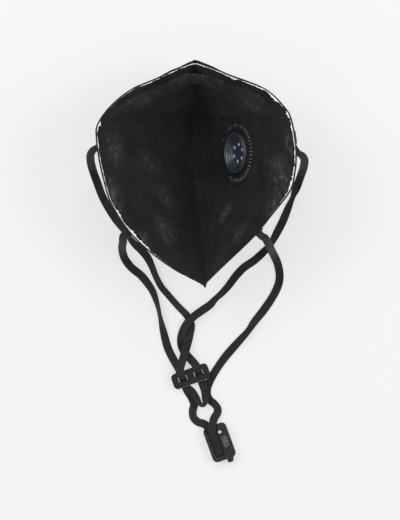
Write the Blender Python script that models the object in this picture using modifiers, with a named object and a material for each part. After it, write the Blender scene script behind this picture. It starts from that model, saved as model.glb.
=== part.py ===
"""Fold-flat respirator mask with an exhalation valve, lying open side up, its straps laid out below it.

Units are metres. +Z is up, +Y points from the chin to the nose, and +X to the side that has the valve.
The origin is on the surface that the mask lies on, under the middle of the mask without its straps.
"""

import math

import bmesh
import bpy
import numpy as np
from mathutils import Matrix, Vector
from mathutils.bvhtree import BVHTree

# The open cup
MASK_WIDTH = 0.143
MASK_HEIGHT = 0.164
LEFT_LIFT = 0.077
RIGHT_LIFT = 0.086
TIP_LIFT = 0.047
WALL = 0.0016
CREASE_WALL = 0.0010
GAP = 0.0003

# The exhalation valve, on the right panel
VALVE_STATION = 6.48
VALVE_SHARE = 0.40
VALVE_FLAT_RADIUS = 0.0236
VALVE_BLEND = 0.010
WELD_RADIUS = 0.0218
WELD_INNER_RADIUS = 0.0158
WELD_THICKNESS = 0.0006
WELD_TOOTH_LENGTH = 0.0032
WELD_TOOTH_EDGE = 0.0004
WELD_TOOTH_RISE = 0.0007
WELD_TEETH = 48
SEAT_RADIUS = 0.0151
SEAT_RISE = 0.0026
SEAT_RECESS = 0.0033
SEAT_FLOOR_RADIUS = 0.0088
SEAT_STEPS = 3
SEAT_STEP = 0.0020
SEAT_SLOPE = 0.0003
SEAT_BARREL_RADIUS = 0.0125
SEAT_BARREL_REACH = 0.0030
SEAT_WALL = 0.0016
SEAT_HOLES = 6
SEAT_HOLE_RADIUS = 0.0014
SEAT_HOLE_TURN = math.radians(170.0)
FLAP_PIN_REACH = 0.0020
SEAT_HOLE_CIRCLE = 0.0062
FLAP_RADIUS = 0.0098
FLAP_THICKNESS = 0.0005
FLAP_PIN_RADIUS = 0.0014
COVER_RADIUS = 0.0205
COVER_RISE = 0.0086
COVER_WALL = 0.0014
COVER_CORNER = 0.0008
COVER_CHAMFER = 0.0016
COVER_VENTS = 8
COVER_VENT_WIDTH = 0.0060
COVER_VENT_HEIGHT = 0.0026

# The soft strip under the nose, and the pale ply at the rim
PAD_WIDTH = 0.0072
PAD_THICKNESS = 0.0020
PAD_DROP = 0.0058
PAD_END_STATION_LEFT = 3.75
PAD_END_STATION_RIGHT = 3.35
PAD_NOTCH_LEFT = 0.17
PAD_NOTCH_RIGHT = 0.20
PAD_NOTCH_REACH = 0.0005
PAD_TAPER = (0.45, 0.85, 1.0)
PAD_PLACES = 13
PLY_INSET = 0.0011
PLY_WIDTH = 0.0011
PLY_THICKNESS = 0.0005
PLY_STEP = 0.4
PLY_END = 1.6
TAIL_LENGTH = 0.00175
TAIL_WIDTH = 0.0022
TAIL_END_WIDTH = 0.0010
TAIL_END_THICKNESS = 0.0008

# Straps and the tabs that they start from
STRAP_WIDTH = 0.0060
STRAP_THICKNESS = 0.0010
STRAP_SPACING = 0.014
STRAP_BEND_STEP = math.radians(24.0)
STRAP_TWIST_STEP = math.radians(34.0)
TAB_LENGTH = 0.0090
TAB_WIDTH = 0.0074
TAB_THICKNESS = 0.0014

# The two-slot slider
SLIDER_AT = (-0.0040, -0.1480)
SLIDER_TURN = math.radians(20.0)
SLIDER_LENGTH = 0.0285
SLIDER_HEIGHT = 0.0118
SLIDER_THICKNESS = 0.0018
SLIDER_BASE = 0.0030
SLIDER_CORNER = 0.0030
SLOT_LENGTH = 0.0067
SLOT_HEIGHT = 0.0042
SLOT_RAISE = 0.0005
SLOT_SPREAD = 0.0124
SLOT_CORNER = 0.0006

# The neck clip
CLIP_AT = (0.0172, -0.1968)
CLIP_TURN = math.radians(20.0)
CLIP_LENGTH = 0.0268
CLIP_WIDTH = 0.0178
CLIP_THICKNESS = 0.0058
CLIP_CORNER = 0.0036
CLIP_EDGE = 0.0010
CHANNEL_DEPTH = 0.0032
CHANNEL_STOP = 0.0090
CLIP_HOLE_AT = (0.0028, 0.0072)
CLIP_HOLE_RADIUS = 0.0013
CLIP_TAB_WIDTH = 0.0042
CLIP_TAB_LENGTH = 0.0030
CLIP_TAB_CORNER = 0.0008
LATCH_AT = (0.0044, -0.0006)
LATCH_LENGTH = 0.0090
LATCH_WIDTH = 0.0044
LATCH_CORNER = 0.0020
LATCH_RISE = 0.0011

# Shares of a panel over which its folds fade out, and steps by which its directions are taken
EDGE_FADE = 0.06
CREASE_FADE = 0.12
LEAST_SHARE = 0.03
SHARE_STEP = 0.02
STATION_STEP = 0.05

# Fineness of the meshes
ROWS_PER_SECTION = 3
COLUMNS = 12
COLUMN_CROWDING = 1.15
ROUTE_STEPS = 24
MERGE_DISTANCE = 0.00001
TURNED_STEPS = 28
HOLE_SIDES = 24

# One row for each section from the nose to the chin. Across and along are shares of half the
# width and half the height; a side's lift is a share of its own lift, the crease's of the tips'.
SECTION_COLUMNS = (
    "left_across", "left_along", "left_lift",
    "crease_across", "crease_along", "crease_lift",
    "right_across", "right_along", "right_lift",
)
SECTIONS = (
    (-0.015, 1.000, 0.610, -0.015, 1.000, 1.00, -0.015, 1.000, 0.547),
    (-0.202, 0.929, 0.680, -0.010, 0.920, 0.80, 0.210, 0.921, 0.640),
    (-0.393, 0.844, 0.760, 0.005, 0.832, 0.59, 0.369, 0.858, 0.710),
    (-0.663, 0.731, 0.870, 0.025, 0.690, 0.29, 0.701, 0.731, 0.850),
    (-0.869, 0.576, 0.950, 0.042, 0.535, 0.06, 0.893, 0.562, 0.940),
    (-0.988, 0.422, 0.990, 0.056, 0.391, -0.04, 0.956, 0.450, 0.975),
    (-1.000, 0.303, 1.000, 0.064, 0.285, -0.06, 0.995, 0.252, 1.000),
    (-0.972, 0.112, 1.000, 0.070, 0.110, -0.06, 1.000, 0.120, 1.000),
    (-0.924, -0.071, 0.985, 0.075, -0.040, -0.06, 0.987, -0.001, 0.990),
    (-0.853, -0.268, 0.940, 0.079, -0.205, -0.04, 0.940, -0.160, 0.960),
    (-0.679, -0.507, 0.860, 0.083, -0.421, 0.07, 0.749, -0.380, 0.880),
    (-0.456, -0.697, 0.770, 0.086, -0.642, 0.35, 0.575, -0.563, 0.790),
    (-0.202, -0.852, 0.680, 0.088, -0.827, 0.66, 0.274, -0.816, 0.650),
    (0.089, -0.975, 0.585, 0.089, -0.975, 0.96, 0.089, -0.975, 0.524),
)

# Across a panel from the crease (0) to the rim (1): how far up from one to the other it has come
PANEL_COLUMNS = ("across", "up")
PANEL = (
    (0.00, 0.000),
    (0.08, 0.020),
    (0.20, 0.150),
    (0.43, 0.425),
    (0.68, 0.728),
    (0.86, 0.900),
    (1.00, 1.000),
)

# Folds and dents, from one end to the other in shares of half the width and half the height.
# Width and push are shares of the wall: push is into the cup, and away from it when negative.
FOLD_COLUMNS = ("across", "along", "to_across", "to_along", "width", "push")
FOLDS = (
    (-0.62, 0.49, 0.02, 0.52, 2.6, -1.5),
    (0.10, 0.52, 0.54, 0.50, 2.6, -1.5),
    (-0.90, 0.30, -0.78, -0.14, 1.8, 0.8),
    (-0.74, 0.34, -0.64, 0.02, 1.8, -0.6),
    (-0.54, 0.14, -0.28, -0.24, 2.8, 1.0),
    (-0.84, -0.10, -0.72, -0.30, 2.4, 1.1),
    (-0.40, -0.42, -0.26, -0.60, 2.4, 0.9),
    (-0.58, -0.36, -0.50, -0.52, 1.6, 0.7),
    (0.76, 0.20, 0.88, -0.06, 2.4, 0.9),
    (0.90, -0.08, 0.66, -0.34, 2.2, 0.8),
    (0.32, -0.36, 0.20, -0.54, 1.8, 0.9),
    (0.50, -0.40, 0.34, -0.60, 2.0, -0.8),
)

# Each strap's way off its tab's edge: how far ahead along the cloth, and how far out from it
LEAVING_COLUMNS = ("ahead", "out")
LEAVING = {
    "upper_left": ((0.0, 0.0008), (0.0016, 0.0018)),
    "upper_right": ((0.0, 0.0008), (0.0016, 0.0018)),
    "lower_left": ((0.0, 0.0010), (0.0010, 0.0014), (0.0022, 0.0023), (0.0030, 0.0038), (0.0031, 0.0056)),
    "lower_right": ((0.0, 0.0002), (0.0010, 0.0005), (0.0022, 0.0014), (0.0030, 0.0030), (0.0031, 0.0048)),
}

# Strap routes: across, along, height of the strap's middle line, and its turn about its run in degrees
ROUTE_COLUMNS = ("x", "y", "z", "turn")
UPPER_LEFT_DROP = (
    (-0.0697, 0.0190, 0.0708, -48),
    (-0.0736, 0.0167, 0.0665, -40),
    (-0.0758, 0.0141, 0.0570, -28),
    (-0.0766, 0.0110, 0.0420, -15),
    (-0.0766, 0.0071, 0.0240, -5),
    (-0.0757, 0.0026, 0.0095, 0),
    (-0.0735, -0.0040, 0.0025, 0),
)
UPPER_LEFT_RUN = (
    (-0.0690, -0.0159, 0.0005, 0),
    (-0.0607, -0.0302, 0.0008, 12),
    (-0.0513, -0.0429, 0.0027, 52),
    (-0.0464, -0.0493, 0.0020, 30),
    (-0.0407, -0.0546, 0.0005, 0),
    (-0.0362, -0.0600, 0.0008, 8),
    (-0.0331, -0.0662, 0.0020, 32),
    (-0.0302, -0.0734, 0.0023, 40),
    (-0.0262, -0.0812, 0.0023, 40),
    (-0.0210, -0.0876, 0.0022, 36),
    (-0.0138, -0.0958, 0.0022, 36),
    (-0.0068, -0.1032, 0.0018, 26),
    (-0.0038, -0.1098, 0.0012, 18),
    (-0.0046, -0.1162, 0.0012, 14),
    (-0.0062, -0.1228, 0.0026, 0),
    (-0.0080, -0.1292, 0.0058, 0),
)
LOWER_LEFT_DROP = (
    (-0.0528, -0.0492, 0.0530, 0),
    (-0.0538, -0.0523, 0.0350, 0),
    (-0.0541, -0.0556, 0.0170, 0),
    (-0.0532, -0.0600, 0.0045, 0),
)
LOWER_LEFT_RUN = (
    (-0.0510, -0.0640, 0.0006, 0),
    (-0.0471, -0.0684, 0.0005, 0),
    (-0.0407, -0.0736, 0.0005, 4),
    (-0.0358, -0.0796, 0.0009, 14),
    (-0.0320, -0.0856, 0.0016, 30),
    (-0.0286, -0.0955, 0.0028, 56),
    (-0.0265, -0.1048, 0.0029, 60),
    (-0.0240, -0.1159, 0.0016, 24),
    (-0.0211, -0.1268, 0.0005, 0),
    (-0.0172, -0.1350, 0.0014, 0),
)
UPPER_RIGHT_DROP = (
    (0.0720, 0.0148, 0.0795, 48),
    (0.0757, 0.0124, 0.0740, 38),
    (0.0777, 0.0100, 0.0620, 26),
    (0.0783, 0.0074, 0.0440, 14),
    (0.0782, 0.0042, 0.0230, 5),
    (0.0772, 0.0002, 0.0085, 0),
    (0.0754, -0.0052, 0.0020, 6),
)
UPPER_RIGHT_RUN = (
    (0.0737, -0.0098, 0.0012, 16),
    (0.0713, -0.0158, 0.0028, 56),
    (0.0677, -0.0245, 0.0016, 24),
    (0.0639, -0.0337, 0.0005, 0),
    (0.0592, -0.0429, 0.0011, 16),
    (0.0549, -0.0507, 0.0026, 48),
    (0.0504, -0.0555, 0.0016, 24),
    (0.0434, -0.0620, 0.0005, 0),
    (0.0352, -0.0677, 0.0005, 0),
    (0.0294, -0.0738, 0.0010, 12),
    (0.0238, -0.0812, 0.0016, 26),
    (0.0193, -0.0862, 0.0022, 38),
    (0.0142, -0.0908, 0.0026, 44),
    (0.0104, -0.0950, 0.0030, 20),
    (0.0045, -0.0992, 0.0044, 0),
    (-0.0016, -0.1036, 0.0052, 0),
    (-0.0072, -0.1094, 0.0038, 10),
    (-0.0106, -0.1166, 0.0014, 14),
    (-0.0112, -0.1232, 0.0005, 0),
    (-0.0094, -0.1290, 0.0007, 0),
    (-0.0056, -0.1338, 0.0018, 0),
)
LOWER_RIGHT_DROP = (
    (0.0524, -0.0508, 0.0560, 0),
    (0.0540, -0.0536, 0.0430, 0),
    (0.0556, -0.0560, 0.0250, 0),
    (0.0573, -0.0585, 0.0100, 0),
    (0.0592, -0.0620, 0.0022, 0),
)
LOWER_RIGHT_RUN = (
    (0.0609, -0.0670, 0.0005, 0),
    (0.0618, -0.0740, 0.0005, 0),
    (0.0606, -0.0808, 0.0005, 0),
    (0.0565, -0.0894, 0.0005, 0),
    (0.0500, -0.0990, 0.0007, 8),
    (0.0430, -0.1078, 0.0015, 26),
    (0.0383, -0.1146, 0.0023, 42),
    (0.0306, -0.1232, 0.0013, 18),
    (0.0220, -0.1331, 0.0005, 0),
    (0.0160, -0.1414, 0.0005, 0),
    (0.0112, -0.1494, 0.0005, 0),
    (0.0084, -0.1560, 0.0005, 0),
    (0.0080, -0.1612, 0.0005, 0),
    (0.0098, -0.1654, 0.0007, 10),
    (0.0134, -0.1684, 0.0010, 20),
    (0.0157, -0.1716, 0.0010, 20),
    (0.0157, -0.1750, 0.0014, 8),
)
TONGUE = (
    (-0.0036, -0.1590, 0.0021, 0),
    (-0.0006, -0.1630, 0.0026, -22),
    (0.0018, -0.1668, 0.0031, -52),
    (0.0034, -0.1689, 0.0031, -62),
    (0.0053, -0.1692, 0.0031, -62),
    (0.0066, -0.1672, 0.0031, -52),
    (0.0068, -0.1634, 0.0026, -22),
    (0.0065, -0.1590, 0.0021, 0),
)
LEFT_BRANCH = (
    (-0.0062, -0.1594, 0.0005, 0),
    (-0.0032, -0.1642, 0.0005, 0),
    (-0.0016, -0.1690, 0.0007, 8),
    (-0.0026, -0.1738, 0.0010, 16),
    (-0.0020, -0.1784, 0.0010, 16),
    (0.0012, -0.1818, 0.0012, 6),
)

# A strap's way through one of the slider's slots: how far up the slider from its middle, and height
SLOT_COLUMNS = ("up", "z")
LOWER_DOWN_SLOT = (
    (0.0070, 0.0054),
    (0.0046, 0.0056),
    (0.0030, 0.0056),
    (0.0022, 0.0054),
    (0.0018, 0.0050),
    (0.0013, 0.0036),
    (0.0008, 0.0021),
    (0.0003, 0.0010),
    (-0.0005, 0.0005),
    (-0.0024, 0.0005),
    (-0.0060, 0.0005),
)
UPPER_DOWN_SLOT = (
    (0.0070, 0.0070),
    (0.0046, 0.0074),
    (0.0022, 0.0072),
    (0.0013, 0.0068),
    (0.0008, 0.0063),
    (0.0003, 0.0051),
    (-0.0001, 0.0039),
    (-0.0006, 0.0028),
    (-0.0013, 0.0022),
    (-0.0026, 0.0021),
    (-0.0060, 0.0021),
)
UPPER_UP_SLOT = (
    (0.0070, 0.0054),
    (0.0046, 0.0056),
    (0.0030, 0.0056),
    (0.0022, 0.0054),
    (0.0018, 0.0050),
    (0.0013, 0.0038),
    (0.0009, 0.0028),
    (0.0002, 0.0022),
    (-0.0010, 0.0021),
    (-0.0060, 0.0021),
)

# Places across and down the clip from its middle: its channel with the flared mouth
CHANNEL_COLUMNS = ("across", "along")
CHANNEL = (
    (-0.0096, -0.0150),
    (0.0042, -0.0150),
    (0.0020, -0.0106),
    (0.0008, -0.0075),
    (0.0008, 0.0098),
    (-0.0060, 0.0098),
    (-0.0060, -0.0075),
    (-0.0074, -0.0106),
)
CHANNEL_MIDDLE = -0.0026

# Places across and down the clip, and heights, where each strap bends into that channel
CLIP_COLUMNS = ("across", "along", "z")
LEFT_INTO_CLIP = (
    (-0.0062, -0.0168, 0.0026),
    (-0.0046, -0.0142, 0.0034),
    (-0.0032, -0.0108, 0.0034),
)
RIGHT_INTO_CLIP = (
    (0.0026, -0.0182, 0.0030),
    (0.0002, -0.0150, 0.0047),
    (-0.0019, -0.0112, 0.0048),
)

parts = bpy.data.collections.new("respirator_mask")
cutters = bpy.data.collections.new("cutters")


def clear_scene():
    for thing in list(bpy.data.objects):
        bpy.data.objects.remove(thing, do_unlink=True)
    for collection in (parts, cutters):
        bpy.context.scene.collection.children.link(collection)
    cutters.hide_render = True


def material(name, colour, roughness, metallic=0.0):
    made = bpy.data.materials.new(name)
    made.use_nodes = True
    shader = made.node_tree.nodes["Principled BSDF"]
    shader.inputs["Base Color"].default_value = (*colour, 1.0)
    shader.inputs["Roughness"].default_value = roughness
    shader.inputs["Metallic"].default_value = metallic
    return made


def add_object(name, mesh, finish=None, collection=parts):
    thing = bpy.data.objects.new(name, mesh)
    collection.objects.link(thing)
    if finish:
        mesh.materials.append(finish)
    return thing


def mesh_from(name, points, faces):
    mesh = bpy.data.meshes.new(name)
    mesh.from_pydata([tuple(point) for point in points], [], faces)
    mesh.validate()
    return mesh


def shade_round(thing, angle=0.6):
    thing.data.shade_smooth()
    thing.data.set_sharp_from_angle(angle=angle)


def smooth_row(rows, place):
    """The row at a place between rows of a table, on a curve that passes through every row."""
    rows = np.asarray(rows, float)
    last = len(rows) - 1
    first = int(min(max(math.floor(place), 0), last - 1))
    t = place - first
    before, start, end, after = (rows[min(max(first + step, 0), last)] for step in (-1, 0, 1, 2))
    return 0.5 * (
        2 * start
        + (end - before) * t
        + (2 * before - 5 * start + 4 * end - after) * t**2
        + (3 * start - before - 3 * end + after) * t**3
    )


def panel_height(share):
    """How far up a panel has come, from 0 at the crease to 1 at the rim."""
    across, up = np.array(PANEL).T
    at = float(np.interp(share, across, np.arange(len(across))))
    return float(smooth_row(np.column_stack((across, up)), at)[1])


def section(station):
    """Left rim, crease and right rim points of the cup at a station along it."""
    row = dict(zip(SECTION_COLUMNS, smooth_row(SECTIONS, station)))
    lifts = {"left": LEFT_LIFT, "crease": TIP_LIFT, "right": RIGHT_LIFT}
    return {
        name: np.array(
            (
                row[f"{name}_across"] * MASK_WIDTH / 2,
                row[f"{name}_along"] * MASK_HEIGHT / 2,
                row[f"{name}_lift"] * lift,
            )
        )
        for name, lift in lifts.items()
    }


def fold_push(x, y):
    """How far the folds push the cloth at a place seen from above."""
    total = 0.0
    for row in FOLDS:
        fold = dict(zip(FOLD_COLUMNS, row))
        start = np.array((fold["across"] * MASK_WIDTH / 2, fold["along"] * MASK_HEIGHT / 2))
        end = np.array((fold["to_across"] * MASK_WIDTH / 2, fold["to_along"] * MASK_HEIGHT / 2))
        run = end - start
        at = float(np.clip(np.dot((x, y) - start, run) / np.dot(run, run), 0.0, 1.0))
        distance = np.linalg.norm((x, y) - start - at * run)
        width = fold["width"] * WALL
        total += fold["push"] * WALL * math.exp(-((distance / width) ** 2))
    return total


def raw_surface(side, station, share):
    """A point of the cup's outside before the valve flattens it."""
    points = section(station)
    crease, rim = points["crease"], points[side]
    place = crease + (rim - crease) * share
    place[2] = crease[2] + (rim[2] - crease[2]) * panel_height(share)
    return place


def raw_frame(side, station, share):
    """The point, the inward normal and the direction towards the chin, on the cup's outside."""
    step = SHARE_STEP
    point = raw_surface(side, station, share)
    along = raw_surface(side, station + step, share) - raw_surface(side, station - step, share)
    up = raw_surface(side, station, share + step) - raw_surface(side, station, share - step)
    normal = np.cross(up, along) if side == "right" else np.cross(along, up)
    normal /= np.linalg.norm(normal)
    if normal[2] < 0:
        normal = -normal
    return point, normal, along / np.linalg.norm(along)


VALVE_CENTRE, VALVE_NORMAL, VALVE_DOWN = raw_frame("right", VALVE_STATION, VALVE_SHARE)


def ease(value):
    value = min(max(value, 0.0), 1.0)
    return value * value * (3.0 - 2.0 * value)


def surface(side, station, share):
    """A point of the cup's outside, with its folds, its flat round the valve and its resting patch."""
    place = raw_surface(side, station, share)
    edge_fade = ease((1.0 - share) / EDGE_FADE)
    crease_fade = ease(share / CREASE_FADE)
    _, normal, _ = raw_frame(side, station, min(max(share, LEAST_SHARE), 1.0 - LEAST_SHARE))
    away = place - VALVE_CENTRE
    off_plane = float(np.dot(away, VALVE_NORMAL))
    radius = float(np.linalg.norm(away - off_plane * VALVE_NORMAL))
    near = 1.0 - ease((radius - VALVE_FLAT_RADIUS) / VALVE_BLEND) if side == "right" else 0.0
    push = fold_push(place[0], place[1]) * edge_fade * crease_fade
    place = place + normal * push * (1.0 - near) - VALVE_NORMAL * off_plane * near
    place[2] = max(place[2], 0.0)
    return place


def station_rows():
    count = (len(SECTIONS) - 1) * ROWS_PER_SECTION
    return [row / ROWS_PER_SECTION for row in range(1, count)]


def make_shell(finish):
    """Both panels as one open surface from rim to rim, thickened into the cup."""
    shares = [(column / COLUMNS) ** COLUMN_CROWDING for column in range(COLUMNS + 1)]
    columns = [("left", share) for share in reversed(shares[1:])]
    columns += [("right", share) for share in shares]
    nose = surface("right", 0, 0.0)
    chin = surface("right", len(SECTIONS) - 1, 0.0)
    points = [surface(side, row, share) for row in station_rows() for side, share in columns]
    wide = len(columns)
    rows = len(points) // wide
    faces = []
    for row in range(rows - 1):
        for column in range(wide - 1):
            first = row * wide + column
            faces.append((first, first + wide, first + wide + 1, first + 1))
    nose_index, chin_index = len(points), len(points) + 1
    last = (rows - 1) * wide
    for column in range(wide - 1):
        faces.append((nose_index, column, column + 1))
        faces.append((chin_index, last + column + 1, last + column))
    mesh = mesh_from("mask_shell", points + [nose, chin], faces)
    shell = add_object("mask_shell", mesh, finish)
    group = shell.vertex_groups.new(name="wall")
    crease_column = COLUMNS
    for index in range(len(mesh.vertices)):
        on_crease = index >= nose_index or index % wide == crease_column
        group.add([index], CREASE_WALL / WALL if on_crease else 1.0, "REPLACE")
    solid = shell.modifiers.new("wall", "SOLIDIFY")
    solid.thickness = WALL
    solid.offset = 1.0 if mesh.polygons[0].normal.z > 0 else -1.0
    solid.vertex_group = group.name
    solid.use_even_offset = False
    shell.data.shade_smooth()
    return shell


def inner_tree(shell):
    """The shell as built, for laying things on its inside."""
    graph = bpy.context.evaluated_depsgraph_get()
    return BVHTree.FromObject(shell, graph)


def laid_on(tree, x, y):
    """The point and upward normal of the cup's inside below a place."""
    above = Vector((x, y, 2 * RIGHT_LIFT))
    point, normal, _, _ = tree.ray_cast(above, Vector((0.0, 0.0, -1.0)))
    return np.array(point), np.array(normal if normal.z > 0 else -normal)


def thick_sheet(name, grid, thickness, finish, away=(0.0, 0.0, 1.0)):
    """A grid of points as an open surface, thickened away from the cloth that it lies on."""
    rows, wide = len(grid), len(grid[0])
    faces = []
    for row in range(rows - 1):
        for column in range(wide - 1):
            first = row * wide + column
            faces.append((first, first + wide, first + wide + 1, first + 1))
    mesh = mesh_from(name, [point for row in grid for point in row], faces)
    sheet = add_object(name, mesh, finish)
    solid = sheet.modifiers.new("thickness", "SOLIDIFY")
    solid.thickness = thickness
    facing = sum(face.normal.dot(Vector(away)) for face in mesh.polygons)
    solid.offset = 1.0 if facing > 0 else -1.0
    sheet.data.shade_smooth()
    return sheet


def rim_point(side, station, inset):
    """A place seen from above, a distance in from the rim and square to it."""
    here = section(station)[side]
    ahead = section(station + STATION_STEP)[side]
    behind = section(station - STATION_STEP)[side]
    run = (ahead - behind)[:2]
    run /= np.linalg.norm(run)
    inward = np.array((-run[1], run[0])) if side == "left" else np.array((run[1], -run[0]))
    return here[:2] + inward * inset


def make_nose_pad(tree, finish):
    """The soft strip, laid on the inside a set distance below the top edges."""
    left = np.linspace(1.0, PAD_NOTCH_LEFT, PAD_PLACES)
    right = np.linspace(PAD_NOTCH_RIGHT, 1.0, PAD_PLACES)
    stations = [("left", PAD_END_STATION_LEFT * share) for share in left]
    stations += [("right", PAD_END_STATION_RIGHT * share) for share in right]
    grid = []
    for index, (side, station) in enumerate(stations):
        end = min(index, len(stations) - 1 - index)
        narrow = PAD_TAPER[min(end, len(PAD_TAPER) - 1)]
        row = []
        for across in (-0.5, 0.0, 0.5):
            inset = PAD_DROP + PAD_WIDTH * (0.5 + across * narrow)
            x, y = rim_point(side, station, inset)
            point, normal = laid_on(tree, x, y)
            row.append(point + normal * 3 * GAP)
        grid.append(row)
    middle = len(grid) // 2
    top = [0.5 * (before + after) for before, after in zip(grid[middle - 1], grid[middle])]
    for column, point in enumerate(top):
        on_cloth, normal = laid_on(tree, point[0], point[1] + PAD_NOTCH_REACH)
        top[column] = on_cloth + normal * 5 * GAP
    grid.insert(middle, top)
    return thick_sheet("nose_pad", grid, PAD_THICKNESS, finish)


def make_filter_edge(tree, finish):
    """The pale ply as a thin band just inside the rim, from one side of the chin round to the other."""
    last = len(SECTIONS) - 1
    left = [("left", station) for station in np.arange(last - PLY_END, PLY_STEP, -PLY_STEP)]
    right = [("right", station) for station in np.arange(PLY_STEP, last - PLY_END, PLY_STEP)]
    grid = []
    for side, station in left + right:
        row = []
        for across in (0.0, 1.0):
            x, y = rim_point(side, station, PLY_INSET + across * PLY_WIDTH)
            point, normal = laid_on(tree, x, y)
            row.append(point + normal * 2 * GAP)
        grid.append(row)
    return thick_sheet("filter_edge", grid, PLY_THICKNESS, finish)


def frame_matrix(origin, x_axis, z_axis):
    """A placement from its origin, its upward axis and a direction close to its x axis."""
    z = Vector(z_axis).normalized()
    x = Vector(x_axis) - z * Vector(x_axis).dot(z)
    x.normalize()
    y = z.cross(x)
    matrix = Matrix((x, y, z)).transposed().to_4x4()
    matrix.translation = Vector(origin)
    return matrix


def turned(name, profile, finish, placement, steps=TURNED_STEPS, closed=False):
    """A solid turned about its own z axis from (radius, height) points."""
    points = [(radius, 0.0, height) for radius, height in profile]
    edges = [(index, index + 1) for index in range(len(points) - 1)]
    if closed:
        edges.append((len(points) - 1, 0))
    mesh = bpy.data.meshes.new(name)
    mesh.from_pydata(points, edges, [])
    thing = add_object(name, mesh, finish)
    screw = thing.modifiers.new("turn", "SCREW")
    screw.steps = steps
    screw.render_steps = steps
    screw.use_merge_vertices = True
    screw.merge_threshold = MERGE_DISTANCE
    thing.matrix_world = placement
    return thing


def cutter(name, shapes):
    """One guide object that holds every cylinder, box or prism that a piece is cut by."""
    mesh = bpy.data.meshes.new(name)
    shape = bmesh.new()
    for size, placement in shapes:
        if isinstance(size[0], list):
            outline, low, high = size
            base = [shape.verts.new(placement @ Vector((*place, low))) for place in outline]
            top = [shape.verts.new(placement @ Vector((*place, high))) for place in outline]
            shape.faces.new(base)
            shape.faces.new(top)
            for index in range(len(outline)):
                after = (index + 1) % len(outline)
                shape.faces.new((base[index], base[after], top[after], top[index]))
        elif len(size) == 3:
            bmesh.ops.create_cube(shape, size=1.0, matrix=placement @ Matrix.Diagonal((*size, 1.0)))
        else:
            radius, depth = size
            bmesh.ops.create_cone(
                shape, cap_ends=True, segments=HOLE_SIDES, radius1=radius, radius2=radius,
                depth=depth, matrix=placement,
            )
    bmesh.ops.recalc_face_normals(shape, faces=shape.faces[:])
    shape.to_mesh(mesh)
    shape.free()
    thing = add_object(name, mesh, collection=cutters)
    thing.hide_render = True
    thing.display_type = "WIRE"
    return thing


def cut(thing, cutter):
    boolean = thing.modifiers.new(cutter.name, "BOOLEAN")
    boolean.operation = "DIFFERENCE"
    boolean.solver = "EXACT"
    boolean.object = cutter


def make_weld(placement, finish):
    """A washer on the inside whose outer band rises and falls in teeth."""
    base = WALL + GAP
    flat = base + WELD_THICKNESS
    band = WELD_RADIUS - WELD_TOOTH_LENGTH
    radii = (WELD_INNER_RADIUS, band, band + WELD_TOOTH_EDGE, WELD_RADIUS)
    toothed = (False, False, True, True)
    count = 2 * WELD_TEETH
    points = []
    for index in range(count):
        turn = 2 * math.pi * index / count
        for radius, rises in zip(radii, toothed):
            height = flat + (WELD_TOOTH_RISE if rises and index % 2 == 0 else 0.0)
            points.append((radius * math.cos(turn), radius * math.sin(turn), height))
        for radius in (WELD_RADIUS, WELD_INNER_RADIUS):
            points.append((radius * math.cos(turn), radius * math.sin(turn), base))
    ring = len(radii) + 2
    faces = []
    for index in range(count):
        here, there = index * ring, (index + 1) % count * ring
        for step in range(ring):
            after = (step + 1) % ring
            faces.append((here + step, there + step, there + after, here + after))
    mesh = mesh_from("valve_weld", points, faces)
    weld = add_object("valve_weld", mesh, finish)
    face_outward(mesh)
    weld.matrix_world = placement
    return weld


def face_outward(mesh):
    shape = bmesh.new()
    shape.from_mesh(mesh)
    bmesh.ops.recalc_face_normals(shape, faces=shape.faces[:])
    shape.to_mesh(mesh)
    shape.free()


def make_seat(placement, finish):
    """The disc inside, stepped down to its floor, with its barrel through the cloth and its pin."""
    base = WALL + GAP
    top = base + SEAT_RISE
    floor = top - SEAT_RECESS
    plate = floor - SEAT_WALL
    inner = SEAT_BARREL_RADIUS - SEAT_WALL
    profile = [(0.0, floor)]
    for step in range(SEAT_STEPS):
        radius = SEAT_FLOOR_RADIUS + step * SEAT_STEP
        profile.append((radius, floor + step * SEAT_RECESS / SEAT_STEPS))
        profile.append((radius + SEAT_SLOPE, floor + (step + 1) * SEAT_RECESS / SEAT_STEPS))
    profile += [
        (SEAT_RADIUS - SEAT_SLOPE, top),
        (SEAT_RADIUS, top - SEAT_SLOPE),
        (SEAT_RADIUS, base),
        (SEAT_BARREL_RADIUS, base),
        (SEAT_BARREL_RADIUS, -SEAT_BARREL_REACH),
        (inner, -SEAT_BARREL_REACH),
        (inner, plate),
        (FLAP_PIN_RADIUS, plate),
        (FLAP_PIN_RADIUS, plate - FLAP_PIN_REACH),
        (0.0, plate - FLAP_PIN_REACH),
    ]
    seat = turned("valve_seat", profile, finish, placement)
    holes = []
    for index in range(SEAT_HOLES):
        turn = SEAT_HOLE_TURN + 2 * math.pi * index / SEAT_HOLES
        x, y = SEAT_HOLE_CIRCLE * math.cos(turn), SEAT_HOLE_CIRCLE * math.sin(turn)
        middle = placement @ Matrix.Translation((x, y, floor - SEAT_WALL / 2))
        holes.append(((SEAT_HOLE_RADIUS, 3 * SEAT_WALL), middle))
    cut(seat, cutter("seat_holes", holes))
    return seat


def make_flap(placement, finish):
    """The membrane under the seat's holes, on the seat's pin."""
    top = WALL + SEAT_RISE - SEAT_RECESS - SEAT_WALL
    low = top - FLAP_THICKNESS
    bore = FLAP_PIN_RADIUS + GAP
    profile = ((bore, top), (FLAP_RADIUS, top), (FLAP_RADIUS, low), (bore, low))
    return turned("valve_flap", profile, finish, placement, steps=28, closed=True)


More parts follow.
